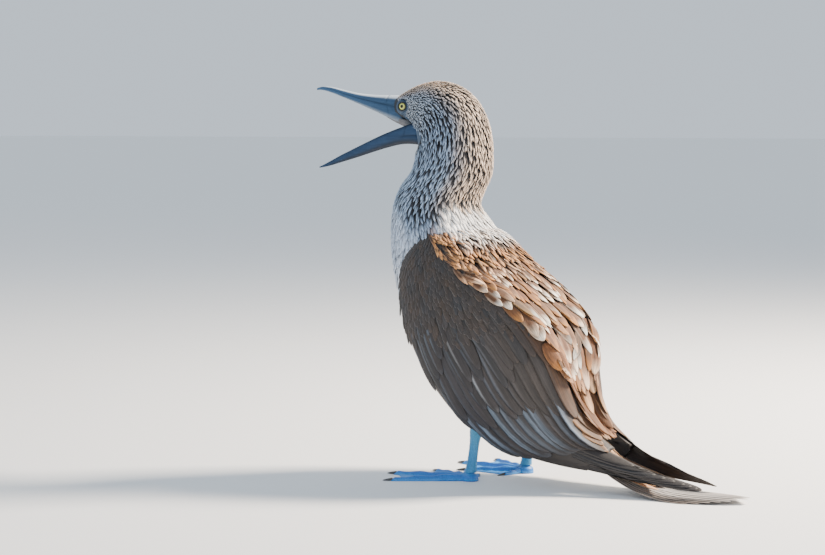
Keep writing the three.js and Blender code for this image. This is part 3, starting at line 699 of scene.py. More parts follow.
def make_skin():
    """The trunk's sheet from u = 0 to 1 and once round, pulled in by the coat's depth, and round the eye by another
    1.8 exp(-(distance / 8)^2), and the thighs. It is painted dark as shade in front, where it closes the mouth, and
    under the chin."""
    rows, around = 150, 112
    u, v = np.meshgrid(np.linspace(0, 1, rows), np.arange(around) / around, indexing="ij")
    outer = body.at(u, v)
    from_eye = np.linalg.norm(np.abs(outer) * [1, -1, 1] - EYE - [5, 0, 0], axis=-1)
    socket = np.exp(-((from_eye / SOCKET_RADIUS) ** 2))
    bodies = [tube(body.at(u, v, -coat_depth(u) - SOCKET_DEPTH * socket))]
    unwrap = [np.stack([v, u], -1).reshape(-1, 2), [[0.5, 0], [0.5, 1]]]
    root, _ = body_colours(u, v, outer)
    face = bare_face(outer)
    under = ramp(towards_back(v), -0.75, -0.9)
    # painted shade: the skin is dark at the mouth in front and under the chin
    mouth = np.maximum(ramp(u * BODY_STEPS, 0.95, 0.6), ramp(u * BODY_STEPS, 2.2, 1.4) * under)
    root = blend(blend(root, SLATE, face), MOUTH_SHADE, mouth)
    tints = [root.reshape(-1, 3), [MOUTH_SHADE, WHITE]]
    for side in SIDES:
        t, turn = np.meshgrid(np.linspace(0, 1, 24), -np.arange(32) / 32 * 2 * np.pi, indexing="ij")
        points, faces = tube(limb_points(THIGH_STOPS, t, turn, -THIGH_COAT))
        bodies.append((on_leg(points, side), flipped(faces, side)))
        unwrap += [np.stack([0.5 + 0.4 * t, turn / 7 + 1], -1).reshape(-1, 2), [[0.5, 0.1], [0.9, 0.1]]]
        tints += [np.broadcast_to(SHADED_WHITE, (len(points), 3))]
    points, faces = gather(bodies)
    add_mesh("skin", points, faces, hide, np.concatenate(tints),
             bake=on_map(np.concatenate(unwrap)),
             replaces=["head", "neck", "torso", "left_thigh", "right_thigh"])


make_skin()

# %% [markdown]
# ## Feathers
# A contour feather is a thin vane that starts under the ones in front of it and ends on top of those behind it. It
# is made as a closed plate with a sharp edge, a slightly raised shaft and a curve across, and is laid on the sheet
# that it grows from, so that it follows the form by itself. All feathers of a tract are computed at once. Their
# roots come from an evenly spread sequence of points, shaped by how large the feathers are at each place.

# %% Feather builder
LANCE = np.array([[0, 0.5], [0.22, 0.85], [0.55, 1], [0.82, 0.68], [1, 0.08]])  # how far along, how wide
OVAL = np.array([[0, 0.55], [0.25, 0.88], [0.6, 1], [0.87, 0.78], [1, 0.14]])
FLIGHT = np.array([[0, 0.4], [0.08, 0.62], [0.18, 0.82], [0.3, 0.93], [0.42, 0.99], [0.54, 1], [0.66, 0.98],
                   [0.77, 0.92], [0.86, 0.8], [0.93, 0.62], [0.975, 0.38], [1, 0.08]])
POINTED = np.array([[0, 0.4], [0.12, 0.68], [0.28, 0.9], [0.45, 1], [0.6, 0.98], [0.74, 0.87], [0.86, 0.64],
                    [0.95, 0.34], [1, 0.06]])
PATCH = 0.003  # size of a feather on the map for baking


def lay_feathers(sheet, u, v, length, width, heading, outline, columns=3, sunk=2.0, rise=0.6, settle=1.6,
                 thick=0.35, camber=0.1, bow=0.0, roll=0.0):
    """Points (feathers, rows, ring, 3) of vanes, and their places across and along.

    The centre line starts at (u, v) and runs on by length in the direction of heading, an angle from the u line
    towards the v line. It bends sideways by bow * length * t^2. It lies at -sunk + (sunk + rise) (1 - (1 - t)^settle)
    over the sheet, and a point at x across is moved by x * half width along the side, and by -camber * x^2 * width
    and half the thickness along the outward direction. roll lifts the edge at x = -1 by so many mm and lowers the
    other one, so that each vane of a row lies on the next as shingles do.
    """
    u, v, length, width, heading, sunk, rise, bow = np.broadcast_arrays(
        u, v, length, width, heading, sunk, rise, bow)
    t, wide = outline.T
    rate_u, rate_v = sheet.mix(sheet.speed_u, u, v), sheet.mix(sheet.speed_v, u, v)
    forward, sideways = length * np.cos(heading) / rate_u, length * np.sin(heading) / rate_v
    path_u = u[:, None] + forward[:, None] * t
    path_v = v[:, None] + sideways[:, None] * t + (bow * length / rate_v)[:, None] * t**2
    line = sheet.at(path_u, path_v)
    outward = unit(sheet.mix(sheet.normals, path_u, path_v))
    side = unit(np.cross(outward, np.gradient(line, axis=1)))
    lift = -sunk[:, None] + (sunk + rise)[:, None] * (1 - (1 - t) ** settle)
    top = np.linspace(-1, 1, columns)
    x = np.concatenate([top, top[-2:0:-1]])
    face = np.concatenate([np.ones(columns), -np.ones(columns - 2)]) * (1 - x**2) ** 0.5
    half = width[:, None] * wide / 2
    over = lift[..., None] - camber * width[:, None, None] * wide[None, :, None] * x**2
    over = over + face * thick / 2 * (0.35 + 0.65 * wide)[None, :, None] - roll * x * wide[None, :, None]
    points = line[:, :, None] + side[:, :, None] * (half[..., None] * x)[..., None]
    return points + outward[:, :, None] * over[..., None], x, t


def feather_faces(count, rows, ring):
    """Quads from ring to ring of each feather, and its two ends."""
    first = np.arange(count)[:, None, None] * rows * ring
    k = np.arange(ring)[None, None, :]
    a = first + np.arange(rows - 1)[None, :, None] * ring + k
    b = a - k + (k + 1) % ring
    sides = np.stack([a, a + ring, b + ring, b], -1).reshape(-1, 4)
    root = first[:, 0] + np.arange(ring)
    tip = root[:, ::-1] + (rows - 1) * ring
    return [sides, root, tip]


# %% A tract of feathers as one piece
def add_feathers(name, sheet, u, v, root_colour, tip_colour, finish, slot, outline, seed=1, change=(0.35, 0.75),
                 rim_colour=None, rim=(0.7, 0.95), rim_amount=1.0, rim_tip=0.7, lower_rim=False, side="left",
                 replaces=(), **shape):
    """A tract as one piece. The colour goes from the root's to the tip's between two shares of the length. The
    rim, where given, has its own, from one share of the half-width to another, and rim_tip of it goes round the
    tip. A lower rim is on the lower edge alone, and fades at that very edge and towards the tip. Sheets are of the
    left side, and a tract of the right one is mirrored."""
    points, x, t = lay_feathers(sheet, u, v, outline=outline, **shape)
    count, rows, ring = points.shape[:3]
    own = np.random.default_rng(seed).random(count)
    across = np.broadcast_to(x, (count, rows, ring))
    far = np.broadcast_to(t[None, :, None], across.shape)
    tint = blend(root_colour[:, None, None], tip_colour[:, None, None], ramp(far, *change))
    if rim_colour is not None:
        edge = ramp(-across if lower_rim else np.abs(across), *rim)
        if lower_rim:
            edge = edge * (1 - 0.75 * ramp(-across, 0.9, 1.0)) * ramp(far, 1.0, 0.7)
        edge = np.maximum(edge, rim_tip * ramp(far, 0.93, 0.99)) * ramp(far, 0.1, 0.35)
        tint = blend(tint, rim_colour[:, None, None], edge * np.broadcast_to(rim_amount, (count,))[:, None, None])
    vane = np.stack([across, far, np.broadcast_to(own[:, None, None], across.shape)], -1)
    low, high = sheet.v_low, sheet.v_high
    home = np.stack([(v - low) / (high - low), u], -1)[:, None, None]
    bake = 0.02 + 0.955 * home + PATCH * np.stack([across / 2, far], -1)
    add_mesh(name, on_side(points, side).reshape(-1, 3), flipped(feather_faces(count, rows, ring), side), finish,
             tint.reshape(-1, 3), vane.reshape(-1, 3), bake.reshape(-1, 2), replaces)


# %% Roots spread evenly over a sheet
EVEN_A, EVEN_B = 0.7548776662466927, 0.5698402909980532  # steps that spread points evenly over a square


def scatter(sheet, density, seed):
    """Roots over a sheet with so many feathers per square millimetre: an evenly spread sequence of points (a, b),
    where a picks the row from the running sum of the rows and b the column from the running sum along it."""
    u, v = sheet.cells()
    weight = density * sheet.area
    count = int(round(weight.sum()))
    n = np.arange(1, count + 1)
    a, b = (seed * 0.37 + n * EVEN_A) % 1, (seed * 0.61 + n * EVEN_B) % 1
    rows = np.cumsum(weight.sum(1))
    row = np.interp(a, rows / rows[-1], np.arange(len(rows)))
    sums = np.cumsum(weight, 1)
    line = sums[np.ceil(row).astype(int)]
    line = line / np.maximum(line[:, -1:], 1e-9)
    j = np.minimum((line < b[:, None]).sum(1), line.shape[1] - 1)
    before = np.where(j > 0, np.take_along_axis(line, np.maximum(j - 1, 0)[:, None], 1)[:, 0], 0)
    here = np.take_along_axis(line, j[:, None], 1)[:, 0]
    column = j - 1 + (b - before) / np.maximum(here - before, 1e-9)
    step = v[0, 1] - v[0, 0]
    return np.clip(row / (len(rows) - 1), 0, 1), np.clip(v[0, 0] + column * step, v[0, 0], v[0, -1])


def once_round(v):
    """1 on the part of the body's sheet that goes round once."""
    return (v >= 0) & (v < 1)


# %% [markdown]
# ### Head, neck and body
# The feathers are smallest round the eye and on the crown and grow down the neck, where they are long, narrow and
# pointed. On the breast and belly they are broad and soft. They all point towards the tail.


# %% The small feathers of the head, neck and body
def body_size(u):
    """Length and width of a body feather at u."""
    place = u * BODY_STEPS
    stops = [0, 1, 2.5, 4, 6, 8, 9.4, 11, 12, 18, 24]
    length = np.interp(place, stops, [3.4, 4.2, 7, 11, 15.5, 17.5, 17.5, 17, 22, 26, 26])
    width = np.interp(place, stops, [1.2, 1.3, 1.6, 1.8, 2.1, 2.4, 2.8, 4.6, 8, 11, 10])
    return length, width


STRIPES = 44  # pale and dark lines round the neck
NECK_END = 10.4  # the section at which the neck's feathers end and the body's begin


def coat(name, low, high, cover, outline, seed, wanted=None, **more):
    """The body's feathers between two sections, with cover times the area that they grow on, where wanted is true.
    Their direction sways in a wave over the body, 0.11 (sin(58v + 3.1 sin 1.3p) + sin(2.6p + 21v)), so that
    neighbours lie together, and stripes of paler and darker tips run down the neck."""
    u, v = body.cells()
    length, width = body_size(u)
    place = u * BODY_STEPS
    density = cover / (length * width) * once_round(v) * (place >= low) * (place < high)
    density = density * (1 - bare_face(body.points))
    if wanted is not None:
        density = density * wanted(towards_back(v))
    u, v = scatter(body, density, seed)
    number = np.random.default_rng(seed)
    length, width = body_size(u)
    length = length * number.uniform(0.85, 1.15, len(u))
    root, tip = body_colours(u, v, body.at(u, v))
    place = u * BODY_STEPS
    width = width * (1 + ramp(towards_back(v), 0.2, -0.3) * ramp(place, 8.3, 9.5) * ramp(place, 13, 11))
    wave = np.sin(v * 58 + 3.1 * np.sin(place * 1.3)) + np.sin(place * 2.6 + v * 21)
    stripe = np.sin(v * 2 * np.pi * STRIPES + 1.5 * np.sin(place * 1.9 + v * 17))
    stripe = stripe * ramp(place, 1.5, 3.5) * ramp(place, 10.4, 9.4)
    tip = tip * (number.uniform(0.84, 1.1, len(u)) + 0.16 * stripe)[:, None]
    rise = np.interp(place, [0, 2, 6, 8.5, 9.5, 13], [0.1, 0.5, 0.9, 0.7, 0.1, 0.1])
    slot = "neck_feathers" if high <= NECK_END else "body_feathers"
    add_feathers(name, body, u, v, root, tip, small_vanes, slot, outline, seed, sunk=coat_depth(u) + 0.3, rise=rise,
                 heading=(0.11 * wave + number.normal(0, 0.06, len(u))) * ramp(place, 13, 9), length=length,
                 width=width * number.uniform(0.85, 1.15, len(u)), bow=number.normal(0, 0.08, len(u)) - 0.05 * wave,
                 **more)


# %% One call for each stretch of the coat
coat("crown_feathers", 0, 3.2, 3.0, LANCE, 1, change=(0.45, 0.7))
coat("nape_feathers", 3.2, 7, 2.8, LANCE, 2, change=(0.52, 0.74))
coat("neck_feathers", 7, NECK_END, 2.8, LANCE, 3, change=(0.52, 0.74))
coat("breast_feathers", NECK_END, 17, 3.0, OVAL, 4, wanted=lambda height: height < 0.55)
coat("back_feathers", NECK_END, 17, 3.0, OVAL, 5, wanted=lambda height: height >= 0.5)
coat("rump_feathers", 17, 24, 2.8, OVAL, 6)


# %% The feathers of the thighs
def thigh_size(u):
    """Length and width of a thigh's feather at u."""
    return 15 - 6 * u, 6 - 2.6 * u


def thigh_coat(side):
    """Short white feathers down the thigh's own sheet, which is the limb's ellipses from t = 0 to 1, once round and
    a little more."""
    t, turn = np.meshgrid(np.linspace(0, 1, 61), np.linspace(-WRAP, 1 + WRAP, 97) * 2 * np.pi, indexing="ij")
    thigh = Sheet(limb_points(THIGH_STOPS, t, turn) + [0, HEEL_Y[side], 0], -WRAP, 1 + WRAP)
    u, v = thigh.cells()
    length, width = thigh_size(u)
    u, v = scatter(thigh, 3.2 / (length * width) * once_round(v) * (u > 0.2), 9)
    length, width = thigh_size(u)
    number = np.random.default_rng(9)
    root, tip = np.broadcast_to(SHADED_WHITE, (len(u), 3)), WHITE * number.uniform(0.9, 1.05, len(u))[:, None]
    add_feathers(f"{side}_thigh_feathers", thigh, u, v, root, tip, small_vanes, "body_feathers", OVAL, 9,
                 side=side, length=length, width=width, heading=number.normal(0, 0.12, len(u)), sunk=2.0, rise=0.5)


for side in SIDES:
    thigh_coat(side)

# %% [markdown]
# ### Wings
# A folded wing shows its small coverts first, like fine scales, then larger ones in rows, then the long flight
# feathers. Each row lies over the roots of the next. They all sit on the wing's own sheet. Under them the arm is
# one closed body, so that no gap shows between the wing and the body.

# %% Colours and arm of the wing
WING_BROWN, WING_RIM = linear(55, 49, 47), linear(82, 75, 72)
# the blue of the rims is a painted sheen on the feathers' paler edges
SHEEN_BLUE_RIM, FLIGHT_BROWN = linear(98, 112, 128), linear(36, 32, 33)
WARMER = np.array([0.09, 0.02, -0.05])  # how a warmer vane differs from a cooler one
TERTIAL_BROWN, TERTIAL_RIM = linear(84, 56, 36), linear(176, 132, 92)
PALEST_RIM = linear(226, 230, 234)


def make_arm(side):
    """The wing's sheet from v = 0 to 1 as the outer face, 1.5 mm under it, and an inner face that is as deep as the
    wing is thick there: 1.7 + 15 (1 - (2v - 1)^6), fading to 1.7 towards the tips."""
    u, v = np.meshgrid(np.linspace(0.03, 0.72, 70), np.linspace(0, 1, 30), indexing="ij")
    thick = 15 * np.clip(1 - np.abs(2 * v - 1) ** 6, 0, 1) * ramp(u, 0.72, 0.45)
    points, faces, bake = shell(wing, u, v, 1.5, 1.5 + thick + 0.2)
    tint = np.broadcast_to(WING_BROWN * 0.7, (len(points), 3))
    add_mesh(f"{side}_arm", on_side(points, side), flipped(faces, side), hide, tint, bake=bake,
             replaces=[f"{side}_wing"])


# %% [markdown]
# A row of long feathers is told by a few pairs of numbers. A pair (a, b) stands for a + b k, where k goes from 0 at
# the wing's lower edge to 1 at the back. So one line can say that roots lie further back towards the back edge, or
# that feathers grow wider. A little chance in each tip's place, width and tone keeps the rows from looking ruled.

# %% A row of long feathers
def wing_rows(side, name, count, seed, colours, roots, tips, root_v, tip_v, width, sunk, rise, stray=0.12,
              outline=FLIGHT, **look):
    """A row of long feathers across the wing. roots and tips are pairs for the sections of the wing at which they
    start and end, root_v and tip_v for the v of both ends, and width, sunk and rise for those, in mm. stray is how
    unevenly the tips end."""
    k = np.linspace(0, 1, count)
    number = np.random.default_rng(seed)

    def graded(pair):
        return pair[0] + pair[1] * k

    u0, u1 = graded(roots) / WING_STEPS, (graded(tips) + number.normal(0, stray, count)) / WING_STEPS
    v0, v1 = graded(root_v), graded(tip_v) + number.normal(0, 0.009, count)
    rate_u, rate_v = wing.mix(wing.speed_u, u0, v0), wing.mix(wing.speed_v, u0, v0)
    du, dv = (u1 - u0) * rate_u, (v1 - v0) * rate_v
    root, tip, edge = colours(k)
    tone = number.uniform(0.86, 1.1, (count, 1)) + number.normal(0, 1, (count, 1)) * WARMER
    add_feathers(f"{side}_{name}", wing, u0, v0, root * tone, tip * tone, long_vanes, "wing_feathers", outline, seed,
                 rim_colour=edge, rim_amount=number.uniform(0.1, 1.0, count), rim_tip=0.12, side=side,
                 length=np.hypot(du, dv), width=graded(width) * number.uniform(0.86, 1.12, count),
                 heading=np.arctan2(dv, du), sunk=graded(sunk), rise=graded(rise) + number.normal(0, 0.06, count),
                 **look)


# %% Colours of the rows
def same(colour, count):
    """One colour for all feathers of a row."""
    return np.broadcast_to(colour, (count, 3))


def hand_colours(k):
    """The primaries: nearly black, with a grey rim."""
    return same(FLIGHT_BROWN, len(k)), same(FLIGHT_BROWN * 0.85, len(k)), same(linear(84, 80, 78), len(k))


def arm_colours(k):
    """The secondaries: browner towards the back, with a pale rim tinted blue as a painted sheen."""
    brown = blend(FLIGHT_BROWN * 1.25, WING_BROWN, ramp(k, 0.2, 0.8))
    return brown, brown, same(SHEEN_BLUE_RIM, len(k))


def tertial_colours(k):
    """The tertials: warm brown with a buff rim."""
    return same(TERTIAL_BROWN, len(k)), same(TERTIAL_BROWN * 1.2, len(k)), same(TERTIAL_RIM, len(k))


def covert_colours(k):
    """The coverts: brown above, painted cool and dark below as shade, painted darker and warmer at the back as shade,
    and one with a very pale rim at k = 0.4.
    """
    # painted shade: cool and dark towards the wing's lower edge, with a bluer rim there, and darker at the back edge,
    # where the top covert would otherwise catch the light
    cool = ramp(k, 0.8, 0.3)
    brown = blend(blend(WING_BROWN * 0.85, FLIGHT_BROWN * 1.3, cool), TERTIAL_BROWN * 0.7, ramp(k, 0.9, 1.0))
    rim = blend(WING_RIM * 0.85, SHEEN_BLUE_RIM, cool)
    return brown, brown, blend(rim, PALEST_RIM, np.exp(-(((k - 0.4) / 0.02) ** 2)))


# %% The rows of a wing
WING_SEED = {"left": 40, "right": 60}


def make_wing(side):
    """The rows of one wing, from the long feathers of the hand, lowest, to the coverts."""
    seed = WING_SEED[side]
    wing_rows(side, "primaries", 9, seed, hand_colours, roots=(7.2, 0), tips=(14, -2.9), root_v=(0.1, 0.42),
              tip_v=(0.3, 0.35), width=(15, 0), sunk=(4.6, -3), rise=(-4.1, 3.8), stray=0.02, columns=9, thick=0.7,
              camber=0.03, settle=2.0, rim=(0.85, 0.97))
    wing_rows(side, "secondaries", 11, seed + 1, arm_colours, roots=(4.2, 1.8), tips=(8.3, 1.9), root_v=(0.28, 0.64),
              tip_v=(0.03, 0.76), width=(24, 3), sunk=(2.5, 0), rise=(0.3, 0), stray=0.1, columns=13, thick=0.5,
              camber=0.02, roll=1.2, bow=-0.05, rim=(0.42, 0.75), lower_rim=True)
    wing_rows(side, "tertials", 4, seed + 5, tertial_colours, roots=(7.2, 0.2), tips=(10.2, -0.8), root_v=(0.8, 0.14),
              tip_v=(0.72, 0.24), width=(20, 0), sunk=(4.4, 0), rise=(0.8, 1.4), outline=POINTED, columns=11,
              thick=0.4, camber=0.03, roll=0.4, rim=(0.3, 1.0))
    wing_rows(side, "greater_coverts", 14, seed + 2, covert_colours, roots=(2.2, 2.4), tips=(6.4, 1.8),
              root_v=(0.27, 0.7), tip_v=(0.03, 0.82), width=(16, 4), sunk=(1.5, 0), rise=(1.0, 0), stray=0.3,
              columns=9, thick=0.35, camber=0.02, roll=0.9, rim=(0.45, 0.95), lower_rim=True)
    wing_rows(side, "median_coverts", 16, seed + 3, covert_colours, roots=(1.2, 2.2), tips=(4.7, 1.6),
              root_v=(0.24, 0.74), tip_v=(0.03, 0.86), width=(13, 3), sunk=(1.0, 0), rise=(1.5, 0), stray=0.45,
              columns=9, thick=0.3, camber=0.03, roll=0.6, rim=(0.5, 0.95), lower_rim=True)


# %% The lesser coverts, and both wings
def lesser_size(place):
    """Length and width of a lesser covert at a section of the wing."""
    return 9 + 3 * place, 3.6 + 0.7 * place


def make_lesser_coverts(side):
    """The small scales of the shoulder, scattered over the front of the wing, in patches of warmer and cooler tone:
    sin(5.1p + 13v) + sin(3.3p - 24v) and a little chance, with p the section."""
    seed = WING_SEED[side] + 4
    u, v = wing.cells()
    place = u * WING_STEPS
    length, width = lesser_size(place)
    density = 3.4 / (length * width) * (place > 0.15) * (place < 2.9 + 2.0 * v) * (v > 0.0) * (v < 1)
    u, v = scatter(wing, density, seed)
    number = np.random.default_rng(seed)
    place, count = u * WING_STEPS, len(u)
    length, width = lesser_size(place)
    patchy = np.sin(place * 5.1 + v * 13) + np.sin(place * 3.3 - v * 24) + number.normal(0, 0.6, count)
    tone = number.uniform(0.88, 1.08, (count, 1)) + patchy[:, None] * WARMER
    add_feathers(f"{side}_lesser_coverts", wing, u, v, WING_BROWN * tone * 0.92, WING_BROWN * tone, small_vanes,
                 "wing_feathers", OVAL, seed, rim_colour=WING_RIM * tone, rim_amount=0.35, rim_tip=0.4, side=side,
                 length=length, width=width, heading=number.normal(-0.2, 0.07, count), sunk=-0.6, rise=1.5,
                 columns=5, thick=0.12, camber=0.06, settle=1.1)


for side in SIDES:
    make_arm(side)
    make_wing(side)
    make_lesser_coverts(side)

# %% [markdown]
# ### Mantle and scapulars
# The feathers of the back drape from wing to wing and hide the edges of both. They grow on a sheet of their own that
# lies over the wings' edges and dips a little in the middle. A layer of down closes the space under them. There are
# three tracts: small streaks in front, the large pale-tipped scapulars, and plainer vanes down to the rump.

# %% The mantle
MANTLE_STEPS = 9.5
MANTLE_LOW, MANTLE_HIGH = 15.0, 165.0


def mantle_grid(rows=121, columns=121):
    """The folded wings' sections from flank to flank, lifted by 3 mm over the wings and let down between them by
    dip (1 - s^2), where s is 0 on the back line and 1 at the wings' edges."""
    place, angle = np.meshgrid(np.linspace(0, MANTLE_STEPS, rows), np.linspace(MANTLE_LOW, MANTLE_HIGH, columns),
                               indexing="ij")
    edge = 90 - along(FOLDED, place)[..., BACK_EDGE]
    s = np.clip(np.abs(angle - 90) / edge, 0, 1)
    dip = np.interp(place, [0, 1, 3, 5, 9.5], [4, 6, 9, 9, 7]) * (1 - s**2)
    points = section_point(FOLDED, place, angle)
    normals = Sheet(points).normals
    return points + normals * (3.0 - dip)[..., None]


mantle = Sheet(mantle_grid())


def mantle_edge(u, v):
    """How far, in degrees, a point of the mantle lies inside the line that the feathers of the wing show past."""
    angle = MANTLE_LOW + v * (MANTLE_HIGH - MANTLE_LOW)
    edge = along(FOLDED, np.asarray(u) * MANTLE_STEPS)[..., BACK_EDGE] - 12
    return 90 - edge - np.abs(angle - 90)


def mantle_heading(u, v):
    """The direction of a feather of the mantle: straight back in the middle, and along the wing's edge beside it."""
    step = 0.01
    turn = (mantle_edge(u, v) - mantle_edge(u + step, v)) / step / (MANTLE_HIGH - MANTLE_LOW)
    along_edge = np.arctan2(turn * mantle.mix(mantle.speed_v, u, v), mantle.mix(mantle.speed_u, u, v))
    return np.sign(0.5 - v) * along_edge * ramp(mantle_edge(u, v), 40, 5)


def mantle_colours(u, v, number):
    """Roots and tips: white at the front of the back, then brown with buff tips, then brown with a pale tip here
    and there, and warm brown between the wings."""
    place = u * MANTLE_STEPS
    middle = ramp(np.abs(v - 0.5), 0.36, 0.26)
    white = ramp(place, 1.3, 0.6) * middle
    large = ramp(place, 1.4, 3.2)
    # dark brown roots: partly their own colour and partly painted shade in the gaps between the feathers
    root = blend(BROWN * 0.8, linear(98, 60, 30), large)
    patchy = np.sin(place * 3.3 + v * 19) + np.sin(place * 1.9 - v * 31) + number.normal(0, 0.7, len(u))
    pale = ramp(patchy, -0.5, 0.8)
    tip = blend(blend(BUFF * 0.8, BUFF, pale), blend(linear(160, 106, 50), linear(252, 242, 226), pale), large)
    tip = blend(tip, blend(linear(116, 74, 44), RUMP_PALE, pale), ramp(place, 5.5, 6.5))
    return blend(root, WHITE * 0.9, white), blend(tip, WHITE, white)


def mantle_size(place):
    """Length and width of a feather of the mantle."""
    stops = [0, 1.5, 3, 4.5, 6.5, 9]
    return np.interp(place, stops, [16, 19, 27, 38, 46, 40]), np.interp(place, stops, [3.2, 4.6, 9.5, 14.5, 16, 12])


def make_down(outer_depth=5.0, inner_depth=9.0):
    """A closed shell of down under the mantle's sheet, 4 degrees wider on each side than the gap between the
    wings."""
    u, share = np.meshgrid(np.linspace(0.02, 0.96, 60), np.linspace(0, 1, 50), indexing="ij")
    half = (90 - along(FOLDED, u * MANTLE_STEPS)[..., BACK_EDGE] + 4) / (MANTLE_HIGH - MANTLE_LOW)
    v = 0.5 + half * (2 * share - 1)
    points, faces, bake = shell(mantle, u, v, outer_depth, inner_depth)
    add_mesh("mantle_down", points, faces, hide, np.broadcast_to(BROWN * 0.6, (len(points), 3)),
             bake=bake)


# %% The tracts of the mantle
MANTLE_COVER = 2.8  # times the area that the feathers grow on

# name, first and last section, degrees inside the wing's edge, outline, columns, depth of the roots, the shares of
# the length where the tip's colour comes in, how far feathers stray from their direction, seed
MANTLE_TRACTS = (
    ("mantle_feathers", 0.0, 2.4, 0, LANCE, 3, 3.6, (0.62, 0.84), 0.25, 21),
    ("scapulars", 2.2, 6.0, 0, POINTED, 7, 2.4, (0.62, 0.92), 0.15, 22),
    ("rump_vanes", 5.8, 9.2, 12, POINTED, 5, 2.6, (0.4, 0.95), 0.13, 23),
)


def make_mantle():
    """The feathers in three tracts, from the smallest in front."""
    for name, low, high, margin, outline, columns, depth, change, stray, seed in MANTLE_TRACTS:
        u, v = mantle.cells()
        place = u * MANTLE_STEPS
        length, width = mantle_size(place)
        density = MANTLE_COVER / (length * width) * (place > low) * (place < high) * (mantle_edge(u, v) > margin)
        u, v = scatter(mantle, density, seed)
        count, number = len(u), np.random.default_rng(seed)
        length, width = mantle_size(u * MANTLE_STEPS)
        root, tip = mantle_colours(u, v, number)
        tone = number.uniform(0.75, 1.2, (count, 1)) + number.normal(0, 0.8, (count, 1)) * WARMER
        add_feathers(name, mantle, u, v, root * tone, tip * tone, mantle_vanes, "body_feathers", outline, seed,
                     change=change, rim_colour=blend(tip, BUFF, np.full(count, 0.5)) * tone, rim=(0.45, 0.95),
                     rim_amount=number.uniform(0.2, 0.9, count), columns=columns,
                     length=length * number.uniform(0.75, 1.25, count), width=width * number.uniform(0.75, 1.2, count),
                     heading=mantle_heading(u, v) + number.normal(0, stray, count), bow=number.normal(0, 0.08, count),
                     sunk=depth * ramp(mantle_edge(u, v), -2, 16), rise=number.uniform(0.3, 1.3, count),
                     thick=0.25, camber=0.07)


make_down()
make_mantle()

# %% [markdown]
# ## Tail
# Seven pairs of long feathers come down from the rump and lie flat on the floor, the middle ones on top. Two rows of
# short ones lie over their roots.

# %% The tail
TAIL_FRONT, TAIL_REAR, TAIL_HALF = 110.0, 320.0, 60.0
TAIL_ROOT_Y, TAIL_FLOOR_Y, TAIL_ROOT_HEIGHT = 128.0, 236.0, 36.0
TAIL_PAIRS = 7


def tail_grid(rows=80, columns=21):
    """The sheet that the tail lies on: height h ((f - y) / (f - r))^2 down to the floor at y = f, then flat."""
    y, x = np.meshgrid(np.linspace(TAIL_FRONT, TAIL_REAR, rows), np.linspace(TAIL_HALF, -TAIL_HALF, columns),
                       indexing="ij")
    fall = np.clip((TAIL_FLOOR_Y - y) / (TAIL_FLOOR_Y - TAIL_ROOT_Y), 0, None)
    return np.stack([x, y, TAIL_ROOT_HEIGHT * fall**2], -1)


# %% The feathers of the tail
tail = Sheet(tail_grid())
tail.speed_u[:] = TAIL_REAR - TAIL_FRONT  # a tail feather's length is counted along the bird


def tail_place(y, x):
    """(u, v) on the tail's sheet of a point y along the bird and x to its left."""
    return (y - TAIL_FRONT) / (TAIL_REAR - TAIL_FRONT), (TAIL_HALF - x) / (2 * TAIL_HALF)


def make_tail():
    """Feathers in pairs from the outer ones, lowest, to the middle ones, with k from 1 to 0. Their length is
    172 - 50 k^1.3 and each points 6.5 k degrees outwards."""
    pair = np.repeat(np.arange(TAIL_PAIRS), 2)
    side = np.tile([1, -1], TAIL_PAIRS)
    k = (TAIL_PAIRS - 0.5 - pair) / (TAIL_PAIRS - 0.5)
    level = pair * 0.85 + (side < 0) * 0.4
    u, v = tail_place(np.full(len(k), TAIL_ROOT_Y), side * 19 * k)
    outer = ramp(k, 0.2, 0.8)
    root = blend(linear(176, 172, 168), linear(110, 98, 90), outer)
    tip = blend(linear(150, 142, 136), linear(92, 80, 72), outer)
    rim = blend(linear(206, 202, 198), linear(150, 140, 132), outer)
    add_feathers("tail_feathers", tail, u, v, root, tip, long_vanes, "tail_feathers", FLIGHT, 31, change=(0.5, 1.0),
                 rim_colour=rim, length=172 - 50 * k**1.3, width=16.0, heading=-np.radians(6.5 * k * side),
                 columns=11, thick=0.7, sunk=-0.5, rise=0.6 + level, camber=0.0, replaces=["tail"])


def make_tail_coverts(in_row=7):
    """Two rows of short feathers over the roots of the tail, the second one 13 mm in front of the first."""
    count, number = 2 * in_row, np.random.default_rng(32)
    share = np.tile(np.linspace(-1, 1, in_row), 2)
    forward = np.repeat([0.0, 13.0], in_row)
    u, v = tail_place(150 - forward, 15 * share)
    tone = number.uniform(0.88, 1.12, (count, 1))
    add_feathers("tail_coverts", tail, u, v, RUMP_BROWN * tone, RUMP_PALE * tone, mantle_vanes, "tail_feathers",
                 POINTED, 33, change=(0.4, 1.0), length=58 + number.normal(0, 4, count), width=13.0,
                 heading=-np.radians(9 * share), columns=7, thick=0.4, sunk=-5.5,
                 rise=7.4 + 0.1 * forward + number.uniform(0, 0.8, count), camber=0.05)


make_tail()
make_tail_coverts()

# %% [markdown]
# ## Bill
# Each half of the bill is one closed form carried along the jaw: round outside, hollow between the cutting edges,
# with a groove along each side, in which a booby's closed nostrils lie. The edges are finely saw-toothed near the
# tip. The horn is slate blue, with painted light on it: a pale highlight along the ridge of the upper half, dark
# shade along the underside of the lower one, shade in the groove, and dark shade inside, between the cutting edges.

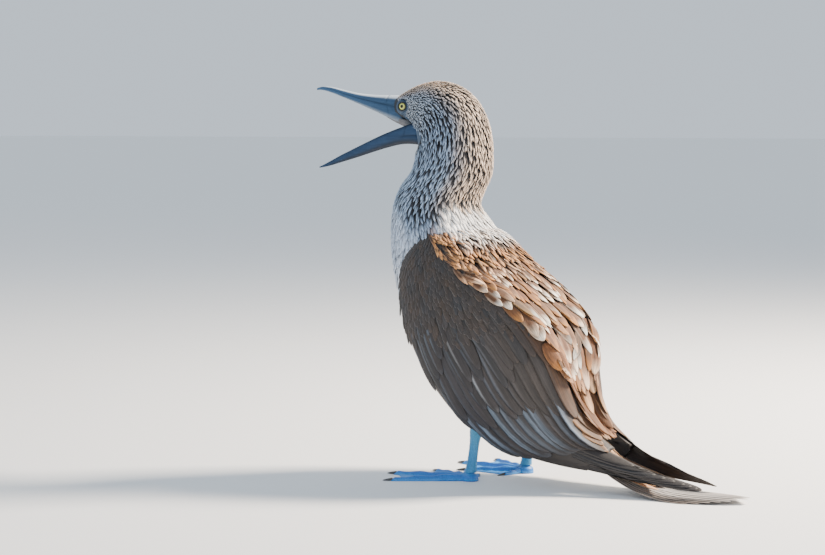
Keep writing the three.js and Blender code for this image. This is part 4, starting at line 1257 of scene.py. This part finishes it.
# %% The bill
# y; height of the ridge; height of the cutting edge; half-width
UPPER_BILL = np.array([
    [-104, 396, 369.4, 14.6], [-118, 397.4, 373.6, 13.2], [-134, 398, 379.4, 11.6], [-152, 399, 385.6, 9.4],
    [-170, 401, 391.4, 7.2], [-188, 404.4, 397, 5.2], [-205, 408, 402.2, 3.6], [-218, 409.2, 405, 2.3],
    [-227, 407.6, 405.4, 0.9],
])
LOWER_BILL = np.array([
    [-78, 344, 371, 16.5], [-94, 347.4, 367.4, 15.6], [-112, 347.4, 362.6, 13.4], [-132, 343.6, 356.4, 11.2],
    [-152, 338.4, 349.4, 9], [-172, 332.8, 342, 6.8], [-192, 327.6, 334.4, 4.6], [-210, 322.9, 327, 2.4],
    [-224, 320.4, 321.6, 0.8],
])


def outwards(points, faces):
    """The faces, turned round if the volume that they close comes out negative."""
    volume = 0.0
    for f in faces:
        for k in range(1, f.shape[1] - 1):
            a, b, c = points[f[:, 0]], points[f[:, k]], points[f[:, k + 1]]
            volume += float(np.einsum("ij,ij->i", a, np.cross(b, c)).sum())
    return faces if volume > 0 else [f[:, ::-1] for f in faces]


def make_bill(name, table, hollow, ridge_shading, side_colour, tones, ridge_width, groove_ends, seam_ends):
    """Outside: x = half cos a, z = edge + (ridge - edge) sin(a)^0.8, a from 0 to pi, drawn in along the groove, at
    the seam near the base and towards the rear end, which lies under the skin. Then back through the mouth:
    z = edge + (ridge - edge) hollow sin(a)^0.7. tones brighten the sides from base to tip, ridge_width is how far
    down the ridge's painted light goes, groove_ends is where along the bill the groove fades in, and seam_ends is how
    high round it the seam does. The ridge's colour is painted light: a highlight on top of the upper half, and shade on
    the underside of the lower one."""
    rows, outer_count, inner_count = 130, 41, 21
    row = along(table, np.linspace(0, len(table) - 1, rows))[:, None, :]
    y, ridge, edge, half = (row[..., k] for k in range(4))
    far = np.linspace(0, 1, rows)[:, None]
    a = np.linspace(0, np.pi, outer_count)[None, :]
    groove = np.exp(-(((np.sin(a) - 0.52) / 0.06) ** 2)) * ramp(far, *groove_ends)
    saw = 0.35 * np.abs(np.sin(far * 190)) * ramp(far, 0.35, 0.55) * np.exp(-((np.sin(a) / 0.08) ** 2))
    crest = 1 + 0.05 * np.exp(-(((a - np.pi / 2) / 0.2) ** 2))
    seam = np.exp(-(((far - 0.15 - 0.07 * np.sin(a)) / 0.007) ** 2)) * ramp(np.sin(a), *seam_ends)
    drawn = 1 - 0.05 * groove - 0.03 * seam - 0.3 * np.clip(1 - far / 0.08, 0, 1) ** 2
    outside = np.stack([
        drawn * half * np.cos(a),
        np.broadcast_to(y, groove.shape),
        edge + (ridge - edge) * drawn * crest * np.sin(a) ** 0.8 + np.sign(ridge - edge) * saw,
    ], -1)
    b = np.linspace(np.pi, 0, inner_count + 2)[None, 1:-1]
    inside = np.stack([
        0.84 * half * np.cos(b),
        np.broadcast_to(y, (rows, inner_count)),
        edge + (ridge - edge) * hollow * np.sin(b) ** 0.7,
    ], -1)
    points, faces = tube(np.concatenate([outside, inside], 1))
    # painted light along the ridge: a highlight on the upper half's top, shade on the lower half's underside; the
    # cutting edges take 0.7 of the same colour
    on_ridge = ramp(np.sin(a), 1 - ridge_width, 1.0) * ramp(far, 1.0, 0.8)
    on_edge = np.broadcast_to(ramp(np.sin(a), 0.14, 0.0), groove.shape)
    base, end = tones
    colour = blend(side_colour * (base + (end - base) * far[..., None]), ridge_shading, on_ridge)
    # painted shade in the groove, and a darker line at the seam
    colour = blend(colour, side_colour * 0.5, np.maximum(0.85 * groove, 0.5 * seam))
    colour = blend(colour, ridge_shading * 0.7, 0.6 * on_edge)
    # the inside, between the cutting edges, is painted dark as shade
    tint = np.concatenate([colour, np.broadcast_to(MOUTH_SHADE, inside.shape)], 1).reshape(-1, 3)
    tint = np.concatenate([tint, [side_colour, side_colour]])
    add_mesh(name, points, outwards(points, faces), horn, tint, replaces=[name])


# the upper half's pale ridge colour is a painted highlight, and the lower half's dark one is painted shade
make_bill("upper_bill", UPPER_BILL, hollow=0.22, ridge_shading=linear(206, 216, 226), side_colour=linear(66, 92, 120),
          tones=(0.85, 1.25), ridge_width=0.2, groove_ends=(0.95, 0.6), seam_ends=(1.2, 1.0))
make_bill("lower_bill", LOWER_BILL, hollow=0.45, ridge_shading=linear(34, 42, 54), side_colour=linear(50, 72, 100),
          tones=(1.05, 0.7), ridge_width=0.55, groove_ends=(0.25, 0.18), seam_ends=(0.6, 0.5))

# %% [markdown]
# The corner of the mouth is a fold of bare skin. It hangs under the cutting edge of the upper half, starts as a fine
# point in front and grows backwards to the corner, where it closes the gap to the lower half.

# %% The corners of the mouth
GAPE_FRONT, GAPE_REAR = np.array([10.3, -128, 376.8]), np.array([14.6, -84, 364.6])
GAPE_GREY, GAPE_CORNER_SHADE = linear(112, 110, 112), linear(52, 58, 66)


def make_gape(side):
    """A flat drop between two points: radius (1.5 across, 3.8 up) 2.23 t^0.9 (1 - t)^0.4, with folds that spread out
    from the corner."""
    t, a = np.meshgrid(np.linspace(0.004, 0.996, 70), np.arange(48) / 48 * 2 * np.pi, indexing="ij")
    size = 2.23 * t**0.9 * (1 - t) ** 0.4
    folds = 1 + 0.12 * np.sin(9 * a + 2 * t) * t
    middle = GAPE_FRONT + (GAPE_REAR - GAPE_FRONT) * t[..., None]
    points, faces = tube(middle + np.stack([1.5 * size * folds * np.cos(a), 0 * a, 3.8 * size * np.sin(a)], -1))
    points = on_side(points, side)
    # darker towards the corner of the mouth, as painted shade in the corner
    tint = blend(GAPE_GREY, GAPE_CORNER_SHADE, ramp(t, 0.55, 0.85)).reshape(-1, 3)
    tint = np.concatenate([tint, [GAPE_GREY, GAPE_CORNER_SHADE]])
    add_mesh(f"{side}_gape", points, outwards(points, faces), hide, tint)


for side in SIDES:
    make_gape(side)

# %% [markdown]
# ## Eyes
# The eye is a wet ball with a pale yellow iris, a small pupil and a slight bulge where the cornea is. The lids are a
# dark rim with small folds. They slope down all round to the bare skin of the face.


# %% The eyes
PUPIL, WET_RIM = linear(6, 6, 8), linear(24, 28, 34)
IRIS, IRIS_PALE, IRIS_EDGE = linear(200, 204, 88), linear(228, 228, 136), linear(128, 134, 54)


def sight_frame(side):
    """The middle of an eye, its line of sight, a little outwards and up, and two directions square to that."""
    sight = unit(np.array([SIGN[side], 0.14, 0.03]))
    first = unit(np.cross(UP, sight))
    return on_side(EYE, side), sight, first, np.cross(sight, first)


def make_eye(side):
    """Ball: r (1 + 0.05 exp(-(a / 0.6)^2)) at the angle a from the line of sight. The colours go by how far a point
    is off that line: the pupil to 1.7 mm, the iris with fine rays to 3.5 mm, and then a dark rim."""
    middle, sight, first, second = sight_frame(side)
    a, b = np.meshgrid(np.linspace(0.012, np.pi - 0.012, 110), np.arange(72) / 72 * 2 * np.pi, indexing="ij")
    reach = (EYE_RADIUS * (1 + 0.05 * np.exp(-((a / 0.6) ** 2))))[..., None]
    ring = np.cos(b)[..., None] * first + np.sin(b)[..., None] * second
    points, faces = tube(middle + reach * (np.cos(a)[..., None] * sight + np.sin(a)[..., None] * ring))
    off = EYE_RADIUS * np.sin(a)
    rays = 0.5 + 0.5 * np.sin(b * 41 + 2 * np.sin(b * 7))
    iris = blend(blend(IRIS, IRIS_PALE, rays), IRIS_EDGE, ramp(off, 2.6, 3.4))
    colour = blend(np.broadcast_to(PUPIL, iris.shape), iris, ramp(off, 1.6, 1.8))
    colour = blend(colour, WET_RIM, np.maximum(ramp(off, 3.4, 3.6), a > 1.5))
    tint = np.concatenate([colour.reshape(-1, 3), [PUPIL, linear(30, 34, 40)]])
    add_mesh(f"{side}_eye", points, outwards(points, faces), wet, tint, replaces=[f"{side}_eye"])


# %% The lids
# distance from the line of sight, and height along it
LIDS = np.array([[3.7, 5.2], [3.8, 5.75], [4.15, 6.1], [4.6, 6.15], [5.1, 5.9], [5.6, 5.4], [6.2, 4.8], [6.9, 4.1],
                 [7.7, 3.2], [8.6, 2.1], [9.6, 0.8], [10.4, -0.8], [8.5, -2.0], [6.5, 0.0], [4.6, 4.2]])


def make_lids(side, around=160):
    """The closed profile of LIDS turned round the line of sight, 6 in 100 lower than wide, with folds
    0.22 sin 26b along its crest."""
    middle, sight, first, second = sight_frame(side)
    turn, step = np.meshgrid(np.linspace(0, 2 * np.pi, around + 1)[:-1], np.arange(len(LIDS)), indexing="ij")
    ring = np.cos(turn)[..., None] * first + np.sin(turn)[..., None] * second * 0.94
    wide, high = LIDS[step, 0], LIDS[step, 1]
    folds = 0.22 * np.sin(turn * 26) * ramp(wide, 4.0, 4.8) * ramp(wide, 8, 6)
    points = (middle + ring * wide[..., None] + sight * (high + folds)[..., None]).reshape(-1, 3)
    faces = [grid_faces(around + 1, len(LIDS), True) % len(points)]  # the row after the last is the first again
    shade = blend(linear(20, 24, 32), SLATE, ramp(wide, 4.6, 6.4))
    add_mesh(f"{side}_lids", points, outwards(points, faces), hide, shade.reshape(-1, 3))


for side in SIDES:
    make_eye(side)
    make_lids(side)

# %% [markdown]
# ## Legs and feet
# The bare leg is a scaled tube. The foot has all four toes joined by one web, so it is drawn as a height over the
# floor at each angle and distance from the heel: the webs are thin, the toes are ridges with joints, and the outline
# is drawn in between the toes.

# %% Toes, and the height of the foot
# angle from straight ahead, length, width, height
TOES = np.array([[-72, 30, 6, 6], [-24, 66, 7.5, 7], [8, 88, 8, 7.5], [36, 82, 8, 7]])
BLUE, DEEP_BLUE, PALE_BLUE = linear(62, 150, 226), linear(44, 122, 206), linear(120, 190, 226)
LEG_BLUE, LEG_PALE = linear(44, 132, 190), linear(84, 168, 204)
CLAW_GREY = linear(72, 70, 70)


def web_reach(theta):
    """Distance from the heel to the web's free edge at an angle, from curves drawn in between the toes' tips."""
    tips = np.array([[np.sin(np.radians(t)), np.cos(np.radians(t))] for t in TOES[:, 0]]) * TOES[:, 1:2] * 0.97
    t = np.linspace(0, 1, 30)[:, None]
    curves = [(1 - t) ** 2 * a + 2 * t * (1 - t) * (a + b) * 0.43 + t**2 * b for a, b in zip(tips, tips[1:])]
    edge = np.concatenate(curves)
    angle, reach = np.degrees(np.arctan2(edge[:, 0], edge[:, 1])), np.hypot(edge[:, 0], edge[:, 1])
    return np.interp(theta, angle, reach, left=0, right=0)


WEB_HEIGHT, DOME_HEIGHT, DOME_RADIUS = 1.35, 9.2, 9.5


def foot_height(forward, sideways):
    """Height over the floor: the fourth root of the sum of the fourth powers of the web's height, the heel's dome
    and each toe's ridge h (1 - (d / w)^2)^0.5, where d is how far the point lies off the toe's line. The web has
    fine folds, and a toe is a little thicker at its joints."""
    reach = np.hypot(forward, sideways)
    folds = 0.22 * np.sin(reach * 0.55) * np.sin(np.arctan2(sideways, forward) * 23) * ramp(reach, 8, 30)
    total = (WEB_HEIGHT + folds) ** 4
    total = total + (DOME_HEIGHT * np.sqrt(np.clip(1 - (reach / DOME_RADIUS) ** 2, 0, 1))) ** 4
    for turn, length, width, height in TOES:
        turn = np.radians(turn)
        run = forward * np.cos(turn) + sideways * np.sin(turn)
        off = -forward * np.sin(turn) + sideways * np.cos(turn)
        share = np.clip(run / length, 0, 1)
        joints = 1 + 0.1 * np.cos(2 * np.pi * 3 * share)
        half = width / 2 * (1.1 - 0.48 * share) * joints
        round_tip = np.sqrt(np.clip(1 - (np.clip(run - length + half, 0, None) / half) ** 2, 0, 1))
        ridge = height * (1.1 - 0.6 * share) * joints * np.sqrt(np.clip(1 - (off / half) ** 2, 0, 1))
        total = total + (ridge * round_tip * (run > -2)) ** 4
    return total**0.25


# %% The foot, with its four toes in one web
def make_foot(side):
    """Rings from the heel out over the top to the edge, then back under the flat sole."""
    theta = np.linspace(-180, 180, 541)[:-1]
    reach = np.maximum(web_reach(theta), 8.5)
    for turn, length, width, _ in TOES:
        off = np.radians(theta - turn)
        beside = np.where(np.cos(off) > 0, width * 0.4 / np.maximum(np.abs(np.sin(off)), 1e-3), 0)
        reach = np.maximum(reach, np.minimum(length, beside))
    share = np.linspace(0.02, 1, 44)[:, None]
    turn = np.radians(theta)[None, :]
    forward, sideways = reach * share * np.cos(turn), reach * share * np.sin(turn)
    top = foot_height(forward, sideways) * (1 - 0.55 * ramp(share, 0.95, 1.0))
    x, y = HEEL_X + sideways, -forward
    over = np.stack([x, y, top], -1)
    under = np.stack([x, y, np.zeros_like(x)], -1)[::-1]
    points, faces = tube(np.concatenate([over, under]))
    web = ramp(top, 3.2, 1.6)
    colour = blend(blend(BLUE, DEEP_BLUE, 1 - web), PALE_BLUE, 0.35 * ramp(top, 5.5, 8.5))
    tint = np.concatenate([colour.reshape(-1, 3), np.broadcast_to(DEEP_BLUE, (under.size // 3 + 2, 3))])
    add_mesh(f"{side}_foot", on_leg(points, side), flipped(outwards(points, faces), side), foot_hide,
             tint, replaces=[f"{side}_foot"])


# %% The tarsus and the claws
def make_tarsus(side):
    """Ellipses down the leg, with plates across its front, radius + 0.2 |sin 36t|, and small scales behind,
    radius + 0.08 sin 90t sin 9a."""
    t, turn = np.meshgrid(np.linspace(0, 1, 130), np.arange(40) / 40 * 2 * np.pi, indexing="ij")
    front = ramp(-np.sin(turn), 0.1, 0.6)
    plates = 0.2 * np.abs(np.sin(t * 36)) * front + 0.08 * np.sin(t * 90) * np.sin(turn * 9) * (1 - front)
    points, faces = tube(limb_points(TARSUS_STOPS, t, turn, plates))
    tint = blend(LEG_PALE, LEG_BLUE, ramp(t, 0.1, 0.7) * 0.6 + 0.25)
    tint = np.concatenate([tint.reshape(-1, 3), [LEG_BLUE, LEG_BLUE]])
    add_mesh(f"{side}_tarsus", on_leg(points, side), flipped(outwards(points, faces), side), foot_hide,
             tint, replaces=[f"{side}_tarsus"])


CLAW_ROOT, CLAW_LENGTH = 1.5, 10.3  # how far it starts inside its toe, and its length


def make_claw(side, name, turn, length, width, height):
    """Ellipses of size sqrt(1 - 0.985t) along a line that comes down to the floor in front of the toe."""
    turn = np.radians(turn)
    ahead, beside = np.array([np.sin(turn), -np.cos(turn), 0]), np.array([np.cos(turn), np.sin(turn), 0])
    t, a = np.meshgrid(np.linspace(0, 1, 16), np.arange(16) / 16 * 2 * np.pi, indexing="ij")
    size = np.sqrt(1 - 0.985 * t)
    rise = height * (0.25 * (1 - t**1.5)) + 0.75 * t**1.5
    points = (length - CLAW_ROOT + CLAW_LENGTH * t)[..., None] * ahead
    points = points + (width * 0.275 * size * np.cos(a))[..., None] * beside
    points = points + np.maximum(0.15, rise + height * 0.23 * size * np.sin(a))[..., None] * UP + [HEEL_X, 0, 0]
    points, faces = tube(points)
    tint = np.broadcast_to(CLAW_GREY, (len(points), 3))
    node = f"{side}_{name}_claw"
    add_mesh(node, on_leg(points, side), flipped(outwards(points, faces), side), claw_horn, tint,
             replaces=[node])


for side in SIDES:
    make_tarsus(side)
    make_foot(side)
    for name, toe in zip(("hind", "inner", "middle", "outer"), TOES):
        make_claw(side, name, *toe)
